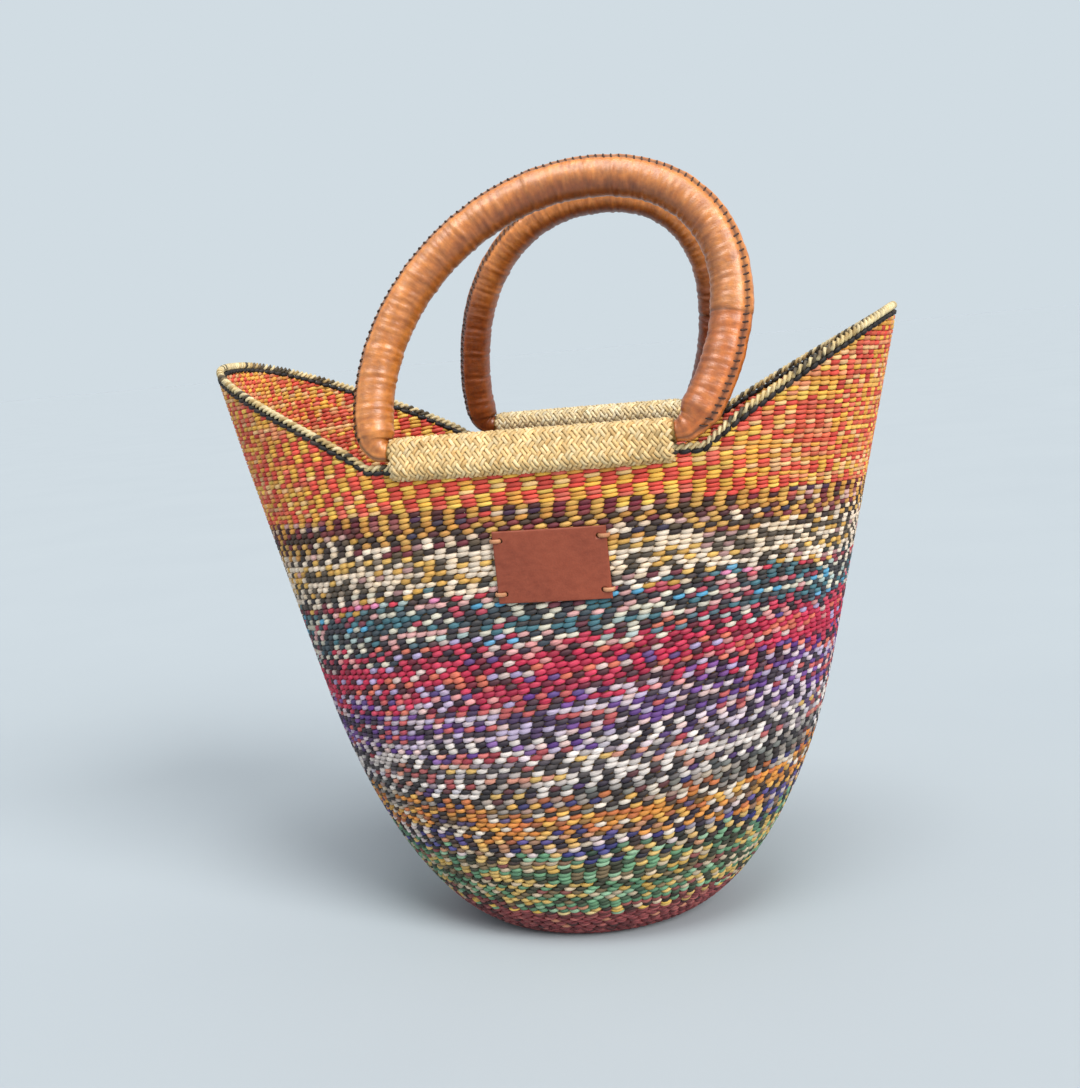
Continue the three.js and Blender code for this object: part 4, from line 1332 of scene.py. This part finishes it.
class Shading(Nodes):
    """A material in the making."""

    def __init__(self, name):
        self.material = bpy.data.materials.new(name)
        super().__init__(self.material)

    def attribute(self, name, output):
        return self.add("ShaderNodeAttribute", {}, attribute_name=name)[output]

    def object_place(self):
        return self.add("ShaderNodeTexCoord", {})["Object"]

    def noise(self, vector, scale, detail):
        inputs = {"Vector": vector, "Scale": scale, "Detail": detail}
        return self.add("ShaderNodeTexNoise", inputs)["Fac"]

    def multiplied(self, first, second):
        inputs = {0: first, 1: second}
        return self.add("ShaderNodeVectorMath", inputs, operation="MULTIPLY")["Vector"]

    def mapped(self, value, low, high):
        """A noise, spread from a value at its low end to one at its high end."""
        noises = {"Value": value, "From Min": NOISE_LOW, "From Max": NOISE_HIGH}
        return self.add("ShaderNodeMapRange", {**noises, "To Min": low, "To Max": high})["Result"]

    def shaded(self, colour, value, low, high):
        """A colour made darker or lighter by a noise."""
        inputs = {0: colour, "Scale": self.mapped(value, low, high)}
        return self.add("ShaderNodeVectorMath", inputs, operation="SCALE")["Vector"]

    def mixed(self, factor, first, second):
        inputs = {"Factor": factor, MIX_FIRST: first, MIX_SECOND: second}
        return self.add("ShaderNodeMix", inputs, data_type="RGBA")[MIX_RESULT]

    def added(self, value, share, rest):
        inputs = {0: value, 1: share, 2: rest}
        return self.add("ShaderNodeMath", inputs, operation="MULTIPLY_ADD")["Value"]

    def bump(self, height, strength, distance):
        inputs = {"Height": height, "Strength": strength, "Distance": distance}
        return self.add("ShaderNodeBump", inputs)["Normal"]

    def surface(self, colour, roughness, specular, normal=None):
        """Joins the nodes to the material's shader, and gives the material."""
        shader = self.tree.nodes["Principled BSDF"]
        self.give(shader.inputs["Base Color"], colour)
        self.give(shader.inputs["Roughness"], roughness)
        shader.inputs["Specular IOR Level"].default_value = specular
        if normal is not None:
            self.give(shader.inputs["Normal"], normal)
        return self.material


def straw_material():
    """Dyed straw: fine fibres along each straw, darker and lighter, with a soft shine."""
    shading = Shading("dyed_straw")
    dye = shading.attribute("dye", "Color")
    fibre = shading.attribute("fibre", "Vector")
    fibres = shading.noise(shading.multiplied(fibre, FIBRE_RATES), scale=1.6, detail=3)
    stains = shading.noise(shading.multiplied(fibre, STAIN_RATES), scale=1, detail=2)
    streaked = shading.shaded(dye, fibres, low=0.72, high=1.16)
    stained = shading.shaded(streaked, stains, low=0.86, high=1.08)
    roughness = shading.mapped(fibres, low=0.72, high=0.5)
    normal = shading.bump(fibres, strength=0.35, distance=0.0004)
    return shading.surface(stained, roughness, specular=0.35, normal=normal)


def sleeve_material(name, deep, middle, pale):
    """Worn leather on a tube: creases across it with painted shade in their hollows, rubbed places,
    and the tone of its seam and ends, which holds painted shade and a painted highlight.
    """
    shading = Shading(name)
    spot = shading.object_place()
    tone = shading.attribute("dye", "Color")
    fibre = shading.attribute("fibre", "Vector")
    creases = shading.noise(shading.multiplied(fibre, CREASE_RATES), scale=1, detail=5)
    rubbed = shading.noise(shading.multiplied(fibre, SLEEVE_RUB_RATES), scale=1.3, detail=4)
    grain = shading.noise(spot, scale=1100, detail=3)
    marks = shading.noise(spot, scale=240, detail=5)
    body = shading.mixed(shading.mapped(rubbed, low=0, high=1), deep, middle)
    # The colour follows the creases of the relief: paler on their ridges, and darker in their hollows,
    # which is painted shade
    worn = shading.mixed(shading.mapped(creases, low=0, high=0.34), body, pale)
    creased = shading.shaded(shading.multiplied(worn, tone), creases, low=0.84, high=1.06)
    marked = shading.shaded(creased, marks, low=0.74, high=1.14)
    relief = shading.added(grain, share=0.25, rest=creases)
    normal = shading.bump(relief, strength=0.55, distance=0.0008)
    roughness = shading.mapped(marks, low=0.44, high=0.3)
    return shading.surface(marked, roughness, specular=0.8, normal=normal)


def leather_material(name, deep, middle, pale, roughness):
    """Flat leather: mottled, with paler rubbed places and a fine grain."""
    shading = Shading(name)
    spot = shading.object_place()
    patches = shading.noise(spot, scale=38, detail=4)
    rubbed = shading.noise(shading.multiplied(spot, FLAT_RUB_RATES), scale=150, detail=5)
    grain = shading.noise(spot, scale=900, detail=3)
    body = shading.mixed(shading.mapped(patches, low=0, high=1), deep, middle)
    worn = shading.mixed(shading.mapped(rubbed, low=0, high=0.62), body, pale)
    grained = shading.shaded(worn, grain, low=0.9, high=1.06)
    uneven = shading.mapped(rubbed, roughness + ROUGHNESS_SPREAD, roughness - ROUGHNESS_SPREAD)
    normal = shading.bump(grain, strength=0.3, distance=0.0003)
    return shading.surface(grained, uneven, specular=0.45, normal=normal)


def floor_material():
    shading = Shading("pale_floor")
    cloud = shading.noise(shading.object_place(), scale=3, detail=3)
    return shading.surface(shading.mixed(cloud, *FLOOR_COLOURS), roughness=1, specular=0)


# Stage

def add_floor():
    bpy.ops.mesh.primitive_grid_add(
        x_subdivisions=FLOOR_PARTS, y_subdivisions=FLOOR_PARTS, size=FLOOR_SIZE
    )
    floor = bpy.context.object
    floor.name = "floor"
    floor.data.materials.append(floor_material())


def add_world():
    """A soft room for light, and a plain colour where the camera or a reflection sees it."""
    world = bpy.data.worlds.new("soft_room")
    bpy.context.scene.world = world
    nodes = Nodes(world)
    room = world.node_tree.nodes["Background"]
    nodes.give(room.inputs["Color"], ROOM_COLOUR)
    nodes.give(room.inputs["Strength"], ROOM_STRENGTH)
    seen = nodes.add("ShaderNodeBackground", {"Color": SEEN_COLOUR, "Strength": 1})
    ray = nodes.add("ShaderNodeLightPath", {})
    rays = {0: ray["Is Camera Ray"], 1: ray["Is Glossy Ray"]}
    either = nodes.add("ShaderNodeMath", rays, operation="MAXIMUM")
    shaders = {0: either["Value"], 1: room.outputs["Background"], 2: seen["Background"]}
    mix = nodes.add("ShaderNodeMixShader", shaders)
    nodes.give(world.node_tree.nodes["World Output"].inputs["Surface"], mix["Shader"])


def add_lamp(name, from_where, strength, softness, colour, gloss_only=False):
    """A soft sun. Where it is gloss_only, it gives highlights and no diffuse light."""
    data = bpy.data.lights.new(name, "SUN")
    data.energy = strength
    data.angle = math.radians(softness)
    data.color = colour
    lamp = add_object(name, data)
    lamp.location = from_where
    lamp.rotation_euler = (-Vector(from_where)).to_track_quat("-Z", "Y").to_euler()
    lamp.visible_diffuse = not gloss_only


def add_camera():
    data = bpy.data.cameras.new("camera")
    data.lens = CAMERA_LENS
    data.sensor_width = CAMERA_SENSOR
    back = Vector((
        math.sin(CAMERA_AZIMUTH) * math.cos(CAMERA_ELEVATION),
        -math.cos(CAMERA_AZIMUTH) * math.cos(CAMERA_ELEVATION),
        math.sin(CAMERA_ELEVATION),
    ))
    camera = add_object("camera", data)
    upright = (-back).to_track_quat("-Z", "Y").to_matrix().to_4x4()
    camera.matrix_world = (
        Matrix.Translation((Vector(CAMERA_TARGET) + back * CAMERA_DISTANCE) * MM)
        @ upright @ Matrix.Rotation(-CAMERA_ROLL, 4, "Z")
    )
    bpy.context.scene.camera = camera


def main():
    for leftover in list(bpy.data.objects):
        bpy.data.objects.remove(leftover)
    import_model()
    bpy.context.scene.view_settings.view_transform = "Standard"
    rng = np.random.default_rng(SEED)
    straw = straw_material()
    sleeve = sleeve_material("tan_leather", *SLEEVE_COLOURS)
    patch = leather_material("patch_leather", *PATCH_COLOURS, roughness=0.55)
    lace = leather_material("lace_leather", *LACE_COLOURS, roughness=0.6)
    thread = leather_material("dark_lacing", *THREAD_COLOURS, roughness=0.6)

    add_camera()
    make_base(rng, straw)
    make_bands(rng, straw)
    make_stakes(rng, straw)
    make_border(rng, straw)
    make_roll(rng, straw)
    for name, handle in HANDLES.items():
        make_core(name, handle, straw)
        make_sleeve(name, handle, sleeve)
        make_seam(name, handle, thread)
        make_binding(name, handle, rng, straw)
    make_patch(patch)
    make_ties(lace)
    add_floor()
    add_world()
    for name, lamp in LAMPS.items():
        add_lamp(name, **lamp)


main()
